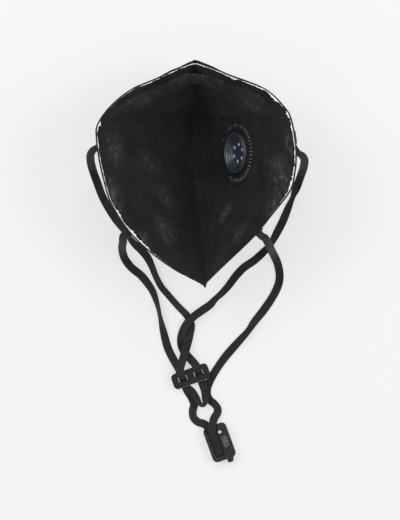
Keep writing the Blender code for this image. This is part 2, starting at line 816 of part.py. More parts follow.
def make_cover(placement, finish):
    """A plain round cap outside, hollow, with vents round its side and its base round the barrel."""
    bore = SEAT_BARREL_RADIUS + GAP
    base = -GAP
    top = base - COVER_RISE
    inner = COVER_RADIUS - COVER_WALL
    profile = (
        (0.0, top + COVER_WALL),
        (inner - COVER_CORNER, top + COVER_WALL),
        (inner, top + COVER_WALL + COVER_CORNER),
        (inner, base - COVER_WALL),
        (bore, base - COVER_WALL),
        (bore, base),
        (COVER_RADIUS, base),
        (COVER_RADIUS, top + COVER_CHAMFER),
        (COVER_RADIUS - COVER_CHAMFER, top),
        (0.0, top),
    )
    cover = turned("valve_cover", profile, finish, placement)
    vent_height = base - COVER_WALL - COVER_CORNER - COVER_VENT_HEIGHT / 2
    vents = []
    for index in range(COVER_VENTS):
        turn = 2 * math.pi * (index + 0.5) / COVER_VENTS
        place = placement @ Matrix.Rotation(turn, 4, "Z")
        place = place @ Matrix.Translation((COVER_RADIUS - COVER_WALL / 2, 0.0, vent_height))
        vents.append(((4 * COVER_WALL, COVER_VENT_WIDTH, COVER_VENT_HEIGHT), place))
    cut(cover, cutter("cover_vents", vents))
    return cover


def make_chin_tail(finish):
    """The end of the seam, a small pinched tab past the chin."""
    tip = surface("right", len(SECTIONS) - 1, 0.0)
    size = Matrix.Diagonal((TAIL_WIDTH, TAIL_LENGTH, WALL, 1.0))
    mesh = bpy.data.meshes.new("chin_tail")
    shape = bmesh.new()
    bmesh.ops.create_cube(shape, size=1.0, matrix=size)
    for vertex in shape.verts:
        if vertex.co.y < 0:
            vertex.co.x *= TAIL_END_WIDTH / TAIL_WIDTH
            vertex.co.z *= TAIL_END_THICKNESS / WALL
    shape.to_mesh(mesh)
    shape.free()
    tail = add_object("chin_tail", mesh, finish)
    tail.location = tip + np.array((0.0, -TAIL_LENGTH / 2 - GAP, WALL / 2))
    return tail


def tab_placement(side, station, share, lean):
    """Where a tab's middle lies on the cup's outside, its x axis along the strap that leaves it."""
    point, normal, along = raw_frame(side, station, share)
    point = surface(side, station, share)
    up = raw_surface(side, station, share + SHARE_STEP)
    up = up - raw_surface(side, station, share - SHARE_STEP)
    up /= np.linalg.norm(up)
    run = along * math.cos(lean) + up * math.sin(lean)
    offset = GAP + TAB_THICKNESS / 2
    return frame_matrix(point - normal * offset, run, -normal)


def make_tab(name, tree, placement, finish):
    """A welded strap end, pressed to the shape of the cup's outside."""
    outward = placement.to_3x3() @ Vector((0.0, 0.0, 1.0))
    grid = []
    for along in np.linspace(-TAB_LENGTH / 2, TAB_LENGTH / 2, 4):
        row = []
        for across in np.linspace(-TAB_WIDTH / 2, TAB_WIDTH / 2, 3):
            point, _, _, _ = tree.find_nearest(placement @ Vector((along, across, 0.0)))
            row.append(point + outward * GAP)
        grid.append(row)
    return thick_sheet(name, grid, TAB_THICKNESS, finish, away=outward)


def turn_about(run, across):
    """How far a band that lies along a run is turned about it from level, in degrees."""
    level = Vector((-run.y, run.x, 0.0)).normalized()
    if across.dot(level) < 0:
        across = -across
    return math.degrees(math.atan2(across.dot(run.cross(level)), across.dot(level)))


def strap_start(placement, leaving):
    """The first points of a strap, from just past its tab's edge, bending away from the cloth."""
    across = placement.to_3x3() @ Vector((0.0, 1.0, 0.0))
    edge = TAB_LENGTH / 2 + 3 * GAP
    places = [placement @ Vector((edge + ahead, 0.0, out)) for ahead, out in leaving]
    rows = []
    for index, place in enumerate(places):
        last = max(index, 1)
        run = (places[last] - places[last - 1]).normalized()
        rows.append((*place, turn_about(run, across)))
    return rows


def slider_point(along, up, height):
    """A place given along the slider, up its short side and above the surface."""
    cosine, sine = math.cos(SLIDER_TURN), math.sin(SLIDER_TURN)
    x = SLIDER_AT[0] + along * cosine - up * sine
    y = SLIDER_AT[1] + along * sine + up * cosine
    return x, y, height, 0


def slot_pass(slot, way):
    """A strap over the slider's top edge, down through a slot and out below."""
    return [slider_point(slot * SLOT_SPREAD / 2, up, height) for up, height in way]


def backward(route):
    """The same stretch run the other way, its turns the other way about it."""
    return [(x, y, z, -turn) for x, y, z, turn in reversed(route)]


def clip_point(across, along, height):
    """A place given across the clip, down it from its middle and above the surface."""
    cosine, sine = math.cos(CLIP_TURN), math.sin(CLIP_TURN)
    x = CLIP_AT[0] + along * sine + across * cosine
    y = CLIP_AT[1] - along * cosine + across * sine
    return x, y, height, 0


def channel_points(layer, way_in):
    """Points of a strap that bends into the clip's channel and stops short of the channel's end."""
    floor = CLIP_THICKNESS - CHANNEL_DEPTH + GAP + STRAP_THICKNESS / 2
    height = floor + layer * (STRAP_THICKNESS + GAP)
    return (
        *(clip_point(*row) for row in way_in),
        clip_point(CHANNEL_MIDDLE, -CLIP_LENGTH / 4, height),
        clip_point(CHANNEL_MIDDLE, 0.0, height),
        clip_point(CHANNEL_MIDDLE, CHANNEL_STOP, height),
    )


def route_points(route, spacing):
    """The route as a smooth curve, with points at even steps and closer ones where it bends sharply."""
    route = np.asarray(route, float)
    fine = [smooth_row(route, place) for place in np.linspace(0, len(route) - 1, ROUTE_STEPS * len(route))]
    fine = np.array(fine)
    steps = np.linalg.norm(np.diff(fine[:, :3], axis=0), axis=1)
    runs = np.diff(fine[:, :3], axis=0) / steps[:, None]
    turns = np.concatenate(([0.0], np.arccos(np.clip((runs[1:] * runs[:-1]).sum(1), -1, 1))))
    twists = np.abs(np.diff(np.radians(fine[:, 3])))
    effort = np.cumsum(steps / spacing + turns / STRAP_BEND_STEP + twists / STRAP_TWIST_STEP)
    effort = np.concatenate(([0.0], effort))
    count = int(math.ceil(effort[-1]))
    wanted = np.linspace(0.0, effort[-1], count + 1)
    points = np.column_stack([np.interp(wanted, effort, column) for column in fine.T])
    lean = np.radians(points[:, 3])
    lowest = np.abs(np.sin(lean)) * STRAP_WIDTH / 2 + np.abs(np.cos(lean)) * STRAP_THICKNESS / 2
    points[:, 2] = np.maximum(points[:, 2], lowest)
    return points


def make_strap(name, route, finish):
    """A flat elastic: a thin rectangle swept along its route, turned about it where the strap twists."""
    outline = bpy.data.curves.new(f"{name}_outline", "CURVE")
    outline.dimensions = "2D"
    spline = outline.splines.new("POLY")
    half, thin = STRAP_WIDTH / 2, STRAP_THICKNESS / 2
    corners = ((half, -thin), (-half, -thin), (-half, thin), (half, thin))
    spline.points.add(len(corners) - 1)
    for point, place in zip(spline.points, corners):
        point.co = (*place, 0.0, 1.0)
    spline.use_cyclic_u = True
    profile = add_object(f"{name}_outline", outline, collection=cutters)
    profile.hide_render = True
    points = route_points(route, STRAP_SPACING)
    curve = bpy.data.curves.new(name, "CURVE")
    curve.dimensions = "3D"
    curve.twist_mode = "Z_UP"
    curve.bevel_mode = "OBJECT"
    curve.bevel_object = profile
    curve.use_fill_caps = True
    line = curve.splines.new("POLY")
    line.points.add(len(points) - 1)
    for point, place in zip(line.points, points):
        point.co = (*place[:3], 1.0)
        point.tilt = math.radians(place[3])
    strap = add_object(name, curve, finish)
    return strap


def rounded_outline(curve, length, width, corner, steps=5):
    """Adds a rounded rectangle to a flat curve."""
    spline = curve.splines.new("POLY")
    points = []
    for quarter, (sign_x, sign_y) in enumerate(((1, 1), (-1, 1), (-1, -1), (1, -1))):
        for step in range(steps):
            turn = math.pi / 2 * (quarter + step / (steps - 1))
            x = sign_x * (length / 2 - corner) + corner * math.cos(turn)
            y = sign_y * (width / 2 - corner) + corner * math.sin(turn)
            points.append((x, y))
    spline.points.add(len(points) - 1)
    for point, place in zip(spline.points, points):
        point.co = (*place, 0.0, 1.0)
    spline.use_cyclic_u = True
    return spline


def solid_from_curve(name, curve, placement, finish):
    """A flat curve's solid as a welded mesh object."""
    guide = add_object(name, curve)
    guide.matrix_world = placement
    graph = bpy.context.evaluated_depsgraph_get()
    mesh = bpy.data.meshes.new_from_object(guide.evaluated_get(graph))
    shape = bmesh.new()
    shape.from_mesh(mesh)
    bmesh.ops.remove_doubles(shape, verts=shape.verts[:], dist=MERGE_DISTANCE)
    shape.to_mesh(mesh)
    shape.free()
    bpy.data.objects.remove(guide, do_unlink=True)
    thing = add_object(name, mesh, finish)
    thing.matrix_world = placement
    return thing


def flat_curve(name, thickness):
    curve = bpy.data.curves.new(name, "CURVE")
    curve.dimensions = "2D"
    curve.fill_mode = "BOTH"
    curve.extrude = thickness / 2
    return curve


def make_slider(finish):
    """The plate with its two slots and softened edges."""
    curve = flat_curve("strap_slider", SLIDER_THICKNESS)
    rounded_outline(curve, SLIDER_LENGTH, SLIDER_HEIGHT, SLIDER_CORNER)
    for slot in (-1, 1):
        spline = rounded_outline(curve, SLOT_LENGTH, SLOT_HEIGHT, SLOT_CORNER, steps=3)
        for point in spline.points:
            point.co.x += slot * SLOT_SPREAD / 2
            point.co.y += SLOT_RAISE
    placement = Matrix.Translation((*SLIDER_AT, SLIDER_BASE + SLIDER_THICKNESS / 2))
    placement = placement @ Matrix.Rotation(SLIDER_TURN, 4, "Z")
    slider = solid_from_curve("strap_slider", curve, placement, finish)
    bevel = slider.modifiers.new("edge", "BEVEL")
    bevel.width = SLIDER_THICKNESS / 6
    bevel.segments = 1
    bevel.limit_method = "ANGLE"
    bevel.angle_limit = 0.9
    shade_round(slider)
    return slider


def make_clip(finish):
    """The rounded block with its strap channel, its small hole and its end tab."""
    placement = Matrix.Translation((*CLIP_AT, CLIP_THICKNESS / 2))
    placement = placement @ Matrix.Rotation(CLIP_TURN, 4, "Z")
    curve = flat_curve("neck_clip", CLIP_THICKNESS)
    spline = curve.splines.new("POLY")
    corner, steps = CLIP_CORNER, 6
    points = []
    for quarter, (sign_x, sign_y) in enumerate(((1, 1), (-1, 1), (-1, -1), (1, -1))):
        if quarter == 3:
            tab_middle = CLIP_WIDTH / 2 - corner - CLIP_TAB_WIDTH / 2
            low = -CLIP_LENGTH / 2 - CLIP_TAB_LENGTH
            points.append((tab_middle - CLIP_TAB_WIDTH / 2, -CLIP_LENGTH / 2))
            points.append((tab_middle - CLIP_TAB_WIDTH / 2, low + CLIP_TAB_CORNER))
            points.append((tab_middle - CLIP_TAB_WIDTH / 2 + CLIP_TAB_CORNER, low))
            points.append((tab_middle + CLIP_TAB_WIDTH / 2 - CLIP_TAB_CORNER, low))
            points.append((tab_middle + CLIP_TAB_WIDTH / 2, low + CLIP_TAB_CORNER))
        for step in range(steps):
            if quarter == 3 and step == 0:
                continue
            turn = math.pi / 2 * (quarter + step / (steps - 1))
            x = sign_x * (CLIP_WIDTH / 2 - corner) + corner * math.cos(turn)
            y = sign_y * (CLIP_LENGTH / 2 - corner) + corner * math.sin(turn)
            points.append((x, y))
    spline.points.add(len(points) - 1)
    for point, place in zip(spline.points, points):
        point.co = (*place, 0.0, 1.0)
    spline.use_cyclic_u = True
    clip = solid_from_curve("neck_clip", curve, placement, finish)
    bevel = clip.modifiers.new("edge", "BEVEL")
    bevel.width = CLIP_EDGE
    bevel.segments = 2
    bevel.limit_method = "ANGLE"
    bevel.angle_limit = 0.9
    outline = [(across, -along) for across, along in CHANNEL]
    low = CLIP_THICKNESS / 2 - CHANNEL_DEPTH
    channel = ((outline, low, CLIP_THICKNESS), placement)
    hole = ((CLIP_HOLE_RADIUS, 2 * CLIP_THICKNESS), placement @ Matrix.Translation((*CLIP_HOLE_AT, 0.0)))
    cut(clip, cutter("clip_cuts", [channel, hole]))
    shade_round(clip)
    return clip


def make_latch(finish):
    """The small rounded catch that stands proud beside the clip's channel."""
    placement = Matrix.Translation((*CLIP_AT, CLIP_THICKNESS + GAP + LATCH_RISE / 2))
    placement = placement @ Matrix.Rotation(CLIP_TURN, 4, "Z")
    curve = flat_curve("clip_latch", LATCH_RISE)
    rounded_outline(curve, LATCH_WIDTH, LATCH_LENGTH, LATCH_CORNER)
    placement = placement @ Matrix.Translation((*LATCH_AT, 0.0))
    latch = solid_from_curve("clip_latch", curve, placement, finish)
    bevel = latch.modifiers.new("edge", "BEVEL")
    bevel.width = LATCH_RISE / 3
    bevel.segments = 2
    bevel.limit_method = "ANGLE"
    bevel.angle_limit = 0.9
    shade_round(latch)
    return latch


def build():
    clear_scene()
    cloth = material("black_cloth", (0.012, 0.012, 0.013), 0.92)
    pale = material("pale_filter", (0.75, 0.75, 0.73), 0.85)
    foam = material("black_foam", (0.016, 0.016, 0.017), 0.95)
    plastic = material("dark_plastic", (0.022, 0.025, 0.031), 0.32)
    membrane = material("bluish_membrane", (0.03, 0.06, 0.16), 0.2)
    elastic = material("grey_elastic", (0.022, 0.022, 0.022), 0.85)

    shell = make_shell(cloth)
    valve = frame_matrix(VALVE_CENTRE, VALVE_DOWN, VALVE_NORMAL)
    tree = inner_tree(shell)
    make_nose_pad(tree, foam)
    make_filter_edge(tree, pale)
    make_chin_tail(cloth)
    hole = ((SEAT_BARREL_RADIUS + GAP, 8 * WALL), valve)
    cut(shell, cutter("valve_opening", [hole]))
    make_weld(valve, cloth)
    make_seat(valve, plastic)
    make_flap(valve, membrane)
    make_cover(valve, plastic)

    tabs = {
        "upper_left": tab_placement("left", 5.78, 0.945, 0.0),
        "upper_right": tab_placement("right", 5.75, 0.945, 0.0),
        "lower_left": tab_placement("left", 9.85, 0.885, math.radians(60.0)),
        "lower_right": tab_placement("right", 10.5, 0.88, math.radians(54.0)),
    }
    for name, placement in tabs.items():
        make_tab(f"anchor_{name}", tree, placement, elastic)

    make_slider(plastic)
    make_clip(plastic)
    make_latch(plastic)

    starts = {name: strap_start(tab, LEAVING[name]) for name, tab in tabs.items()}
    upper = (
        *starts["upper_left"], *UPPER_LEFT_DROP, *UPPER_LEFT_RUN, *slot_pass(-1, UPPER_DOWN_SLOT),
        *TONGUE, *backward(slot_pass(1, UPPER_UP_SLOT)), *backward(UPPER_RIGHT_RUN),
        *backward(UPPER_RIGHT_DROP), *backward(starts["upper_right"]),
    )
    lower_left = (
        *starts["lower_left"], *LOWER_LEFT_DROP, *LOWER_LEFT_RUN,
        *slot_pass(-1, LOWER_DOWN_SLOT), *LEFT_BRANCH, *channel_points(0, LEFT_INTO_CLIP),
    )
    lower_right = (
        *starts["lower_right"], *LOWER_RIGHT_DROP, *LOWER_RIGHT_RUN,
        *channel_points(1, RIGHT_INTO_CLIP),
    )
    make_strap("strap_upper", upper, elastic)
    make_strap("strap_lower_left", lower_left, elastic)
    make_strap("strap_lower_right", lower_right, elastic)


build()
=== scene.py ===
"""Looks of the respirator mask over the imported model: cloth, foam, ply, valve, elastics, slider and clip."""

import math

import bmesh
import bpy
import numpy as np
from mathutils import Matrix, Vector, noise
from mathutils.bvhtree import BVHTree


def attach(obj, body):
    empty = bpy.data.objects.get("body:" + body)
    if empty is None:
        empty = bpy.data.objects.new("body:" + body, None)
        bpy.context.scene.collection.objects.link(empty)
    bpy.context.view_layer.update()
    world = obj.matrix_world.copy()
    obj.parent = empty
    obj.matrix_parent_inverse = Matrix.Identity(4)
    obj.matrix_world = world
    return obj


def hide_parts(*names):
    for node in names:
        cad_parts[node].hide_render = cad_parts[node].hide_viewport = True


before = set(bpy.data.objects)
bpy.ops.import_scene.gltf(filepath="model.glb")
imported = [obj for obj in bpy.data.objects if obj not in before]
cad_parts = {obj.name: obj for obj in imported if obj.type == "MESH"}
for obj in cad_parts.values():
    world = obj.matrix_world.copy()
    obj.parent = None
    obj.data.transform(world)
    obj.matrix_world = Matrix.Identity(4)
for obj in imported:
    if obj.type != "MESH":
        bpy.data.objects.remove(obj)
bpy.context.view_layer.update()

# The open cup
MASK_WIDTH = 0.143
MASK_HEIGHT = 0.164
LEFT_LIFT = 0.077
RIGHT_LIFT = 0.086
TIP_LIFT = 0.047
WALL = 0.0016
GAP = 0.0003

# The exhalation valve, on the right panel
VALVE_STATION = 6.48
VALVE_SHARE = 0.40
VALVE_FLAT_RADIUS = 0.0236
VALVE_BLEND = 0.010
WELD_RADIUS = 0.0218
WELD_INNER_RADIUS = 0.0158
WELD_THICKNESS = 0.0006
WELD_TOOTH_LENGTH = 0.0032
WELD_TOOTH_RISE = 0.0007
WELD_TEETH = 48
SEAT_RADIUS = 0.0151
SEAT_RISE = 0.0026
SEAT_RECESS = 0.0033
SEAT_FLOOR_RADIUS = 0.0088
SEAT_STEPS = 3
SEAT_STEP = 0.0020
SEAT_BARREL_RADIUS = 0.0125
SEAT_BARREL_REACH = 0.0030
SEAT_WALL = 0.0016
SEAT_HOLES = 6
SEAT_HOLE_RADIUS = 0.0014
SEAT_HOLE_TURN = math.radians(170.0)
FLAP_PIN_REACH = 0.0020
SEAT_HOLE_CIRCLE = 0.0062
FLAP_PIN_RADIUS = 0.0014
COVER_RADIUS = 0.0205
COVER_RISE = 0.0086
COVER_WALL = 0.0014
COVER_VENTS = 8
COVER_VENT_WIDTH = 0.0060
COVER_VENT_HEIGHT = 0.0026

# The soft strip under the nose, and the pale ply at the rim
PAD_WIDTH = 0.0072
PAD_THICKNESS = 0.0020
PAD_DROP = 0.0058
PAD_END_STATION_LEFT = 3.75
PAD_END_STATION_RIGHT = 3.35
PAD_NOTCH_LEFT = 0.17
PAD_NOTCH_RIGHT = 0.20
PLY_INSET = 0.0011
PLY_WIDTH = 0.0011
PLY_THICKNESS = 0.0005

# Straps and the tabs that they start from
STRAP_WIDTH = 0.0060
STRAP_THICKNESS = 0.0010
TAB_LENGTH = 0.0090
TAB_THICKNESS = 0.0014

# The two-slot slider
SLIDER_AT = (-0.0040, -0.1480)
SLIDER_TURN = math.radians(20.0)
SLIDER_HEIGHT = 0.0118
SLOT_SPREAD = 0.0124

# The neck clip
CLIP_AT = (0.0172, -0.1968)
CLIP_TURN = math.radians(20.0)
CLIP_LENGTH = 0.0268
CLIP_THICKNESS = 0.0058
CHANNEL_DEPTH = 0.0032
CHANNEL_STOP = 0.0090

# Shares of a panel over which its folds fade out, and steps by which its directions are taken
EDGE_FADE = 0.06
CREASE_FADE = 0.12
LEAST_SHARE = 0.03
SHARE_STEP = 0.02
STATION_STEP = 0.05

# One row for each section from the nose to the chin. Across and along are shares of half the
# width and half the height; a side's lift is a share of its own lift, the crease's of the tips'.
SECTION_COLUMNS = (
    "left_across", "left_along", "left_lift",
    "crease_across", "crease_along", "crease_lift",
    "right_across", "right_along", "right_lift",
)
SECTIONS = (
    (-0.015, 1.000, 0.610, -0.015, 1.000, 1.00, -0.015, 1.000, 0.547),
    (-0.202, 0.929, 0.680, -0.010, 0.920, 0.80, 0.210, 0.921, 0.640),
    (-0.393, 0.844, 0.760, 0.005, 0.832, 0.59, 0.369, 0.858, 0.710),
    (-0.663, 0.731, 0.870, 0.025, 0.690, 0.29, 0.701, 0.731, 0.850),
    (-0.869, 0.576, 0.950, 0.042, 0.535, 0.06, 0.893, 0.562, 0.940),
    (-0.988, 0.422, 0.990, 0.056, 0.391, -0.04, 0.956, 0.450, 0.975),
    (-1.000, 0.303, 1.000, 0.064, 0.285, -0.06, 0.995, 0.252, 1.000),
    (-0.972, 0.112, 1.000, 0.070, 0.110, -0.06, 1.000, 0.120, 1.000),
    (-0.924, -0.071, 0.985, 0.075, -0.040, -0.06, 0.987, -0.001, 0.990),
    (-0.853, -0.268, 0.940, 0.079, -0.205, -0.04, 0.940, -0.160, 0.960),
    (-0.679, -0.507, 0.860, 0.083, -0.421, 0.07, 0.749, -0.380, 0.880),
    (-0.456, -0.697, 0.770, 0.086, -0.642, 0.35, 0.575, -0.563, 0.790),
    (-0.202, -0.852, 0.680, 0.088, -0.827, 0.66, 0.274, -0.816, 0.650),
    (0.089, -0.975, 0.585, 0.089, -0.975, 0.96, 0.089, -0.975, 0.524),
)

# Across a panel from the crease (0) to the rim (1): how far up from one to the other it has come
# Columns: across, up
PANEL = (
    (0.00, 0.000),
    (0.08, 0.020),
    (0.20, 0.150),
    (0.43, 0.425),
    (0.68, 0.728),
    (0.86, 0.900),
    (1.00, 1.000),
)

# Folds and dents, from one end to the other in shares of half the width and half the height.
# Width and push are shares of the wall: push is into the cup, and away from it when negative.
FOLD_COLUMNS = ("across", "along", "to_across", "to_along", "width", "push")
FOLDS = (
    (-0.62, 0.49, 0.02, 0.52, 2.6, -1.5),
    (0.10, 0.52, 0.54, 0.50, 2.6, -1.5),
    (-0.90, 0.30, -0.78, -0.14, 1.8, 0.8),
    (-0.74, 0.34, -0.64, 0.02, 1.8, -0.6),
    (-0.54, 0.14, -0.28, -0.24, 2.8, 1.0),
    (-0.84, -0.10, -0.72, -0.30, 2.4, 1.1),
    (-0.40, -0.42, -0.26, -0.60, 2.4, 0.9),
    (-0.58, -0.36, -0.50, -0.52, 1.6, 0.7),
    (0.76, 0.20, 0.88, -0.06, 2.4, 0.9),
    (0.90, -0.08, 0.66, -0.34, 2.2, 0.8),
    (0.32, -0.36, 0.20, -0.54, 1.8, 0.9),
    (0.50, -0.40, 0.34, -0.60, 2.0, -0.8),
)

# Each strap's way off its tab's edge: how far ahead along the cloth, and how far out from it
# Columns: ahead, out
LEAVING = {
    "upper_left": ((0.0, 0.0008), (0.0016, 0.0018)),
    "upper_right": ((0.0, 0.0008), (0.0016, 0.0018)),
    "lower_left": ((0.0, 0.0010), (0.0010, 0.0014), (0.0022, 0.0023), (0.0030, 0.0038), (0.0031, 0.0056)),
    "lower_right": ((0.0, 0.0002), (0.0010, 0.0005), (0.0022, 0.0014), (0.0030, 0.0030), (0.0031, 0.0048)),
}

# Strap routes: across, along, height of the strap's middle line, and its turn about its run in degrees
# Columns: x, y, z, turn
UPPER_LEFT_DROP = (
    (-0.0697, 0.0190, 0.0708, -48), (-0.0736, 0.0167, 0.0665, -40), (-0.0758, 0.0141, 0.0570, -28),
    (-0.0766, 0.0110, 0.0420, -15), (-0.0766, 0.0071, 0.0240, -5), (-0.0757, 0.0026, 0.0095, 0),
    (-0.0735, -0.0040, 0.0025, 0),
)
UPPER_LEFT_RUN = (
    (-0.0690, -0.0159, 0.0005, 0), (-0.0607, -0.0302, 0.0008, 12), (-0.0513, -0.0429, 0.0027, 52),
    (-0.0464, -0.0493, 0.0020, 30), (-0.0407, -0.0546, 0.0005, 0), (-0.0362, -0.0600, 0.0008, 8),
    (-0.0331, -0.0662, 0.0020, 32), (-0.0302, -0.0734, 0.0023, 40), (-0.0262, -0.0812, 0.0023, 40),
    (-0.0210, -0.0876, 0.0022, 36), (-0.0138, -0.0958, 0.0022, 36), (-0.0068, -0.1032, 0.0018, 26),
    (-0.0038, -0.1098, 0.0012, 18), (-0.0046, -0.1162, 0.0012, 14), (-0.0062, -0.1228, 0.0026, 0),
    (-0.0080, -0.1292, 0.0058, 0),
)
LOWER_LEFT_DROP = (
    (-0.0528, -0.0492, 0.0530, 0), (-0.0538, -0.0523, 0.0350, 0), (-0.0541, -0.0556, 0.0170, 0),
    (-0.0532, -0.0600, 0.0045, 0),
)
LOWER_LEFT_RUN = (
    (-0.0510, -0.0640, 0.0006, 0), (-0.0471, -0.0684, 0.0005, 0), (-0.0407, -0.0736, 0.0005, 4),
    (-0.0358, -0.0796, 0.0009, 14), (-0.0320, -0.0856, 0.0016, 30), (-0.0286, -0.0955, 0.0028, 56),
    (-0.0265, -0.1048, 0.0029, 60), (-0.0240, -0.1159, 0.0016, 24), (-0.0211, -0.1268, 0.0005, 0),
    (-0.0172, -0.1350, 0.0014, 0),
)
UPPER_RIGHT_DROP = (
    (0.0720, 0.0148, 0.0795, 48), (0.0757, 0.0124, 0.0740, 38), (0.0777, 0.0100, 0.0620, 26),
    (0.0783, 0.0074, 0.0440, 14), (0.0782, 0.0042, 0.0230, 5), (0.0772, 0.0002, 0.0085, 0),
    (0.0754, -0.0052, 0.0020, 6),
)
UPPER_RIGHT_RUN = (
    (0.0737, -0.0098, 0.0012, 16), (0.0713, -0.0158, 0.0028, 56), (0.0677, -0.0245, 0.0016, 24),
    (0.0639, -0.0337, 0.0005, 0), (0.0592, -0.0429, 0.0011, 16), (0.0549, -0.0507, 0.0026, 48),
    (0.0504, -0.0555, 0.0016, 24), (0.0434, -0.0620, 0.0005, 0), (0.0352, -0.0677, 0.0005, 0),
    (0.0294, -0.0738, 0.0010, 12), (0.0238, -0.0812, 0.0016, 26), (0.0193, -0.0862, 0.0022, 38),
    (0.0142, -0.0908, 0.0026, 44), (0.0104, -0.0950, 0.0030, 20), (0.0045, -0.0992, 0.0044, 0),
    (-0.0016, -0.1036, 0.0052, 0), (-0.0072, -0.1094, 0.0038, 10), (-0.0106, -0.1166, 0.0014, 14),
    (-0.0112, -0.1232, 0.0005, 0), (-0.0094, -0.1290, 0.0007, 0), (-0.0056, -0.1338, 0.0018, 0),
)
LOWER_RIGHT_DROP = (
    (0.0524, -0.0508, 0.0560, 0), (0.0540, -0.0536, 0.0430, 0), (0.0556, -0.0560, 0.0250, 0),
    (0.0573, -0.0585, 0.0100, 0), (0.0592, -0.0620, 0.0022, 0),
)
LOWER_RIGHT_RUN = (
    (0.0609, -0.0670, 0.0005, 0), (0.0618, -0.0740, 0.0005, 0), (0.0606, -0.0808, 0.0005, 0),
    (0.0565, -0.0894, 0.0005, 0), (0.0500, -0.0990, 0.0007, 8), (0.0430, -0.1078, 0.0015, 26),
    (0.0383, -0.1146, 0.0023, 42), (0.0306, -0.1232, 0.0013, 18), (0.0220, -0.1331, 0.0005, 0),
    (0.0160, -0.1414, 0.0005, 0), (0.0112, -0.1494, 0.0005, 0), (0.0084, -0.1560, 0.0005, 0),
    (0.0080, -0.1612, 0.0005, 0), (0.0098, -0.1654, 0.0007, 10), (0.0134, -0.1684, 0.0010, 20),
    (0.0157, -0.1716, 0.0010, 20), (0.0157, -0.1750, 0.0014, 8),
)
TONGUE = (
    (-0.0036, -0.1590, 0.0021, 0), (-0.0006, -0.1630, 0.0026, -22), (0.0018, -0.1668, 0.0031, -52),
    (0.0034, -0.1689, 0.0031, -62), (0.0053, -0.1692, 0.0031, -62), (0.0066, -0.1672, 0.0031, -52),
    (0.0068, -0.1634, 0.0026, -22), (0.0065, -0.1590, 0.0021, 0),
)
LEFT_BRANCH = (
    (-0.0062, -0.1594, 0.0005, 0), (-0.0032, -0.1642, 0.0005, 0), (-0.0016, -0.1690, 0.0007, 8),
    (-0.0026, -0.1738, 0.0010, 16), (-0.0020, -0.1784, 0.0010, 16), (0.0012, -0.1818, 0.0012, 6),
)

# A strap's way through one of the slider's slots: how far up the slider from its middle, and height
# Columns: up, z
LOWER_DOWN_SLOT = (
    (0.0070, 0.0054), (0.0046, 0.0056), (0.0030, 0.0056), (0.0022, 0.0054), (0.0018, 0.0050),
    (0.0013, 0.0036), (0.0008, 0.0021), (0.0003, 0.0010), (-0.0005, 0.0005), (-0.0024, 0.0005),
    (-0.0060, 0.0005),
)
UPPER_DOWN_SLOT = (
    (0.0070, 0.0070), (0.0046, 0.0074), (0.0022, 0.0072), (0.0013, 0.0068), (0.0008, 0.0063),
    (0.0003, 0.0051), (-0.0001, 0.0039), (-0.0006, 0.0028), (-0.0013, 0.0022), (-0.0026, 0.0021),
    (-0.0060, 0.0021),
)
UPPER_UP_SLOT = (
    (0.0070, 0.0054), (0.0046, 0.0056), (0.0030, 0.0056), (0.0022, 0.0054), (0.0018, 0.0050),
    (0.0013, 0.0038), (0.0009, 0.0028), (0.0002, 0.0022), (-0.0010, 0.0021), (-0.0060, 0.0021),
)

# How far across the clip its channel's middle lies
CHANNEL_MIDDLE = -0.0026

# Places across and down the clip, and heights, where each strap bends into the channel
LEFT_INTO_CLIP = (
    (-0.0062, -0.0168, 0.0026), (-0.0046, -0.0142, 0.0034), (-0.0032, -0.0108, 0.0034),
)
RIGHT_INTO_CLIP = (
    (0.0026, -0.0182, 0.0030), (0.0002, -0.0150, 0.0047), (-0.0019, -0.0112, 0.0048),
)


def smooth_row(rows, place):
    """The row at a place between rows of a table, on a curve that passes through every row."""
    rows = np.asarray(rows, float)
    last = len(rows) - 1
    first = int(min(max(math.floor(place), 0), last - 1))
    t = place - first
    before, start, end, after = (rows[min(max(first + step, 0), last)] for step in (-1, 0, 1, 2))
    return 0.5 * (
        2 * start
        + (end - before) * t
        + (2 * before - 5 * start + 4 * end - after) * t**2
        + (3 * start - before - 3 * end + after) * t**3
    )


def panel_height(share):
    """How far up a panel has come, from 0 at the crease to 1 at the rim."""
    across, up = np.array(PANEL).T
    at = float(np.interp(share, across, np.arange(len(across))))
    return float(smooth_row(np.column_stack((across, up)), at)[1])


def section(station):
    """Left rim, crease and right rim points of the cup at a station along it."""
    row = dict(zip(SECTION_COLUMNS, smooth_row(SECTIONS, station)))
    lifts = {"left": LEFT_LIFT, "crease": TIP_LIFT, "right": RIGHT_LIFT}
    return {
        name: np.array(
            (
                row[f"{name}_across"] * MASK_WIDTH / 2,
                row[f"{name}_along"] * MASK_HEIGHT / 2,
                row[f"{name}_lift"] * lift,
            )
        )
        for name, lift in lifts.items()
    }


def fold_push(x, y):
    """How far the folds push the cloth at a place seen from above."""
    total = 0.0
    for row in FOLDS:
        fold = dict(zip(FOLD_COLUMNS, row))
        start = np.array((fold["across"] * MASK_WIDTH / 2, fold["along"] * MASK_HEIGHT / 2))
        end = np.array((fold["to_across"] * MASK_WIDTH / 2, fold["to_along"] * MASK_HEIGHT / 2))
        run = end - start
        at = float(np.clip(np.dot((x, y) - start, run) / np.dot(run, run), 0.0, 1.0))
        distance = np.linalg.norm((x, y) - start - at * run)
        width = fold["width"] * WALL
        total += fold["push"] * WALL * math.exp(-((distance / width) ** 2))
    return total


def raw_surface(side, station, share):
    """A point of the cup's outside before the valve flattens it."""
    points = section(station)
    crease, rim = points["crease"], points[side]
    place = crease + (rim - crease) * share
    place[2] = crease[2] + (rim[2] - crease[2]) * panel_height(share)
    return place


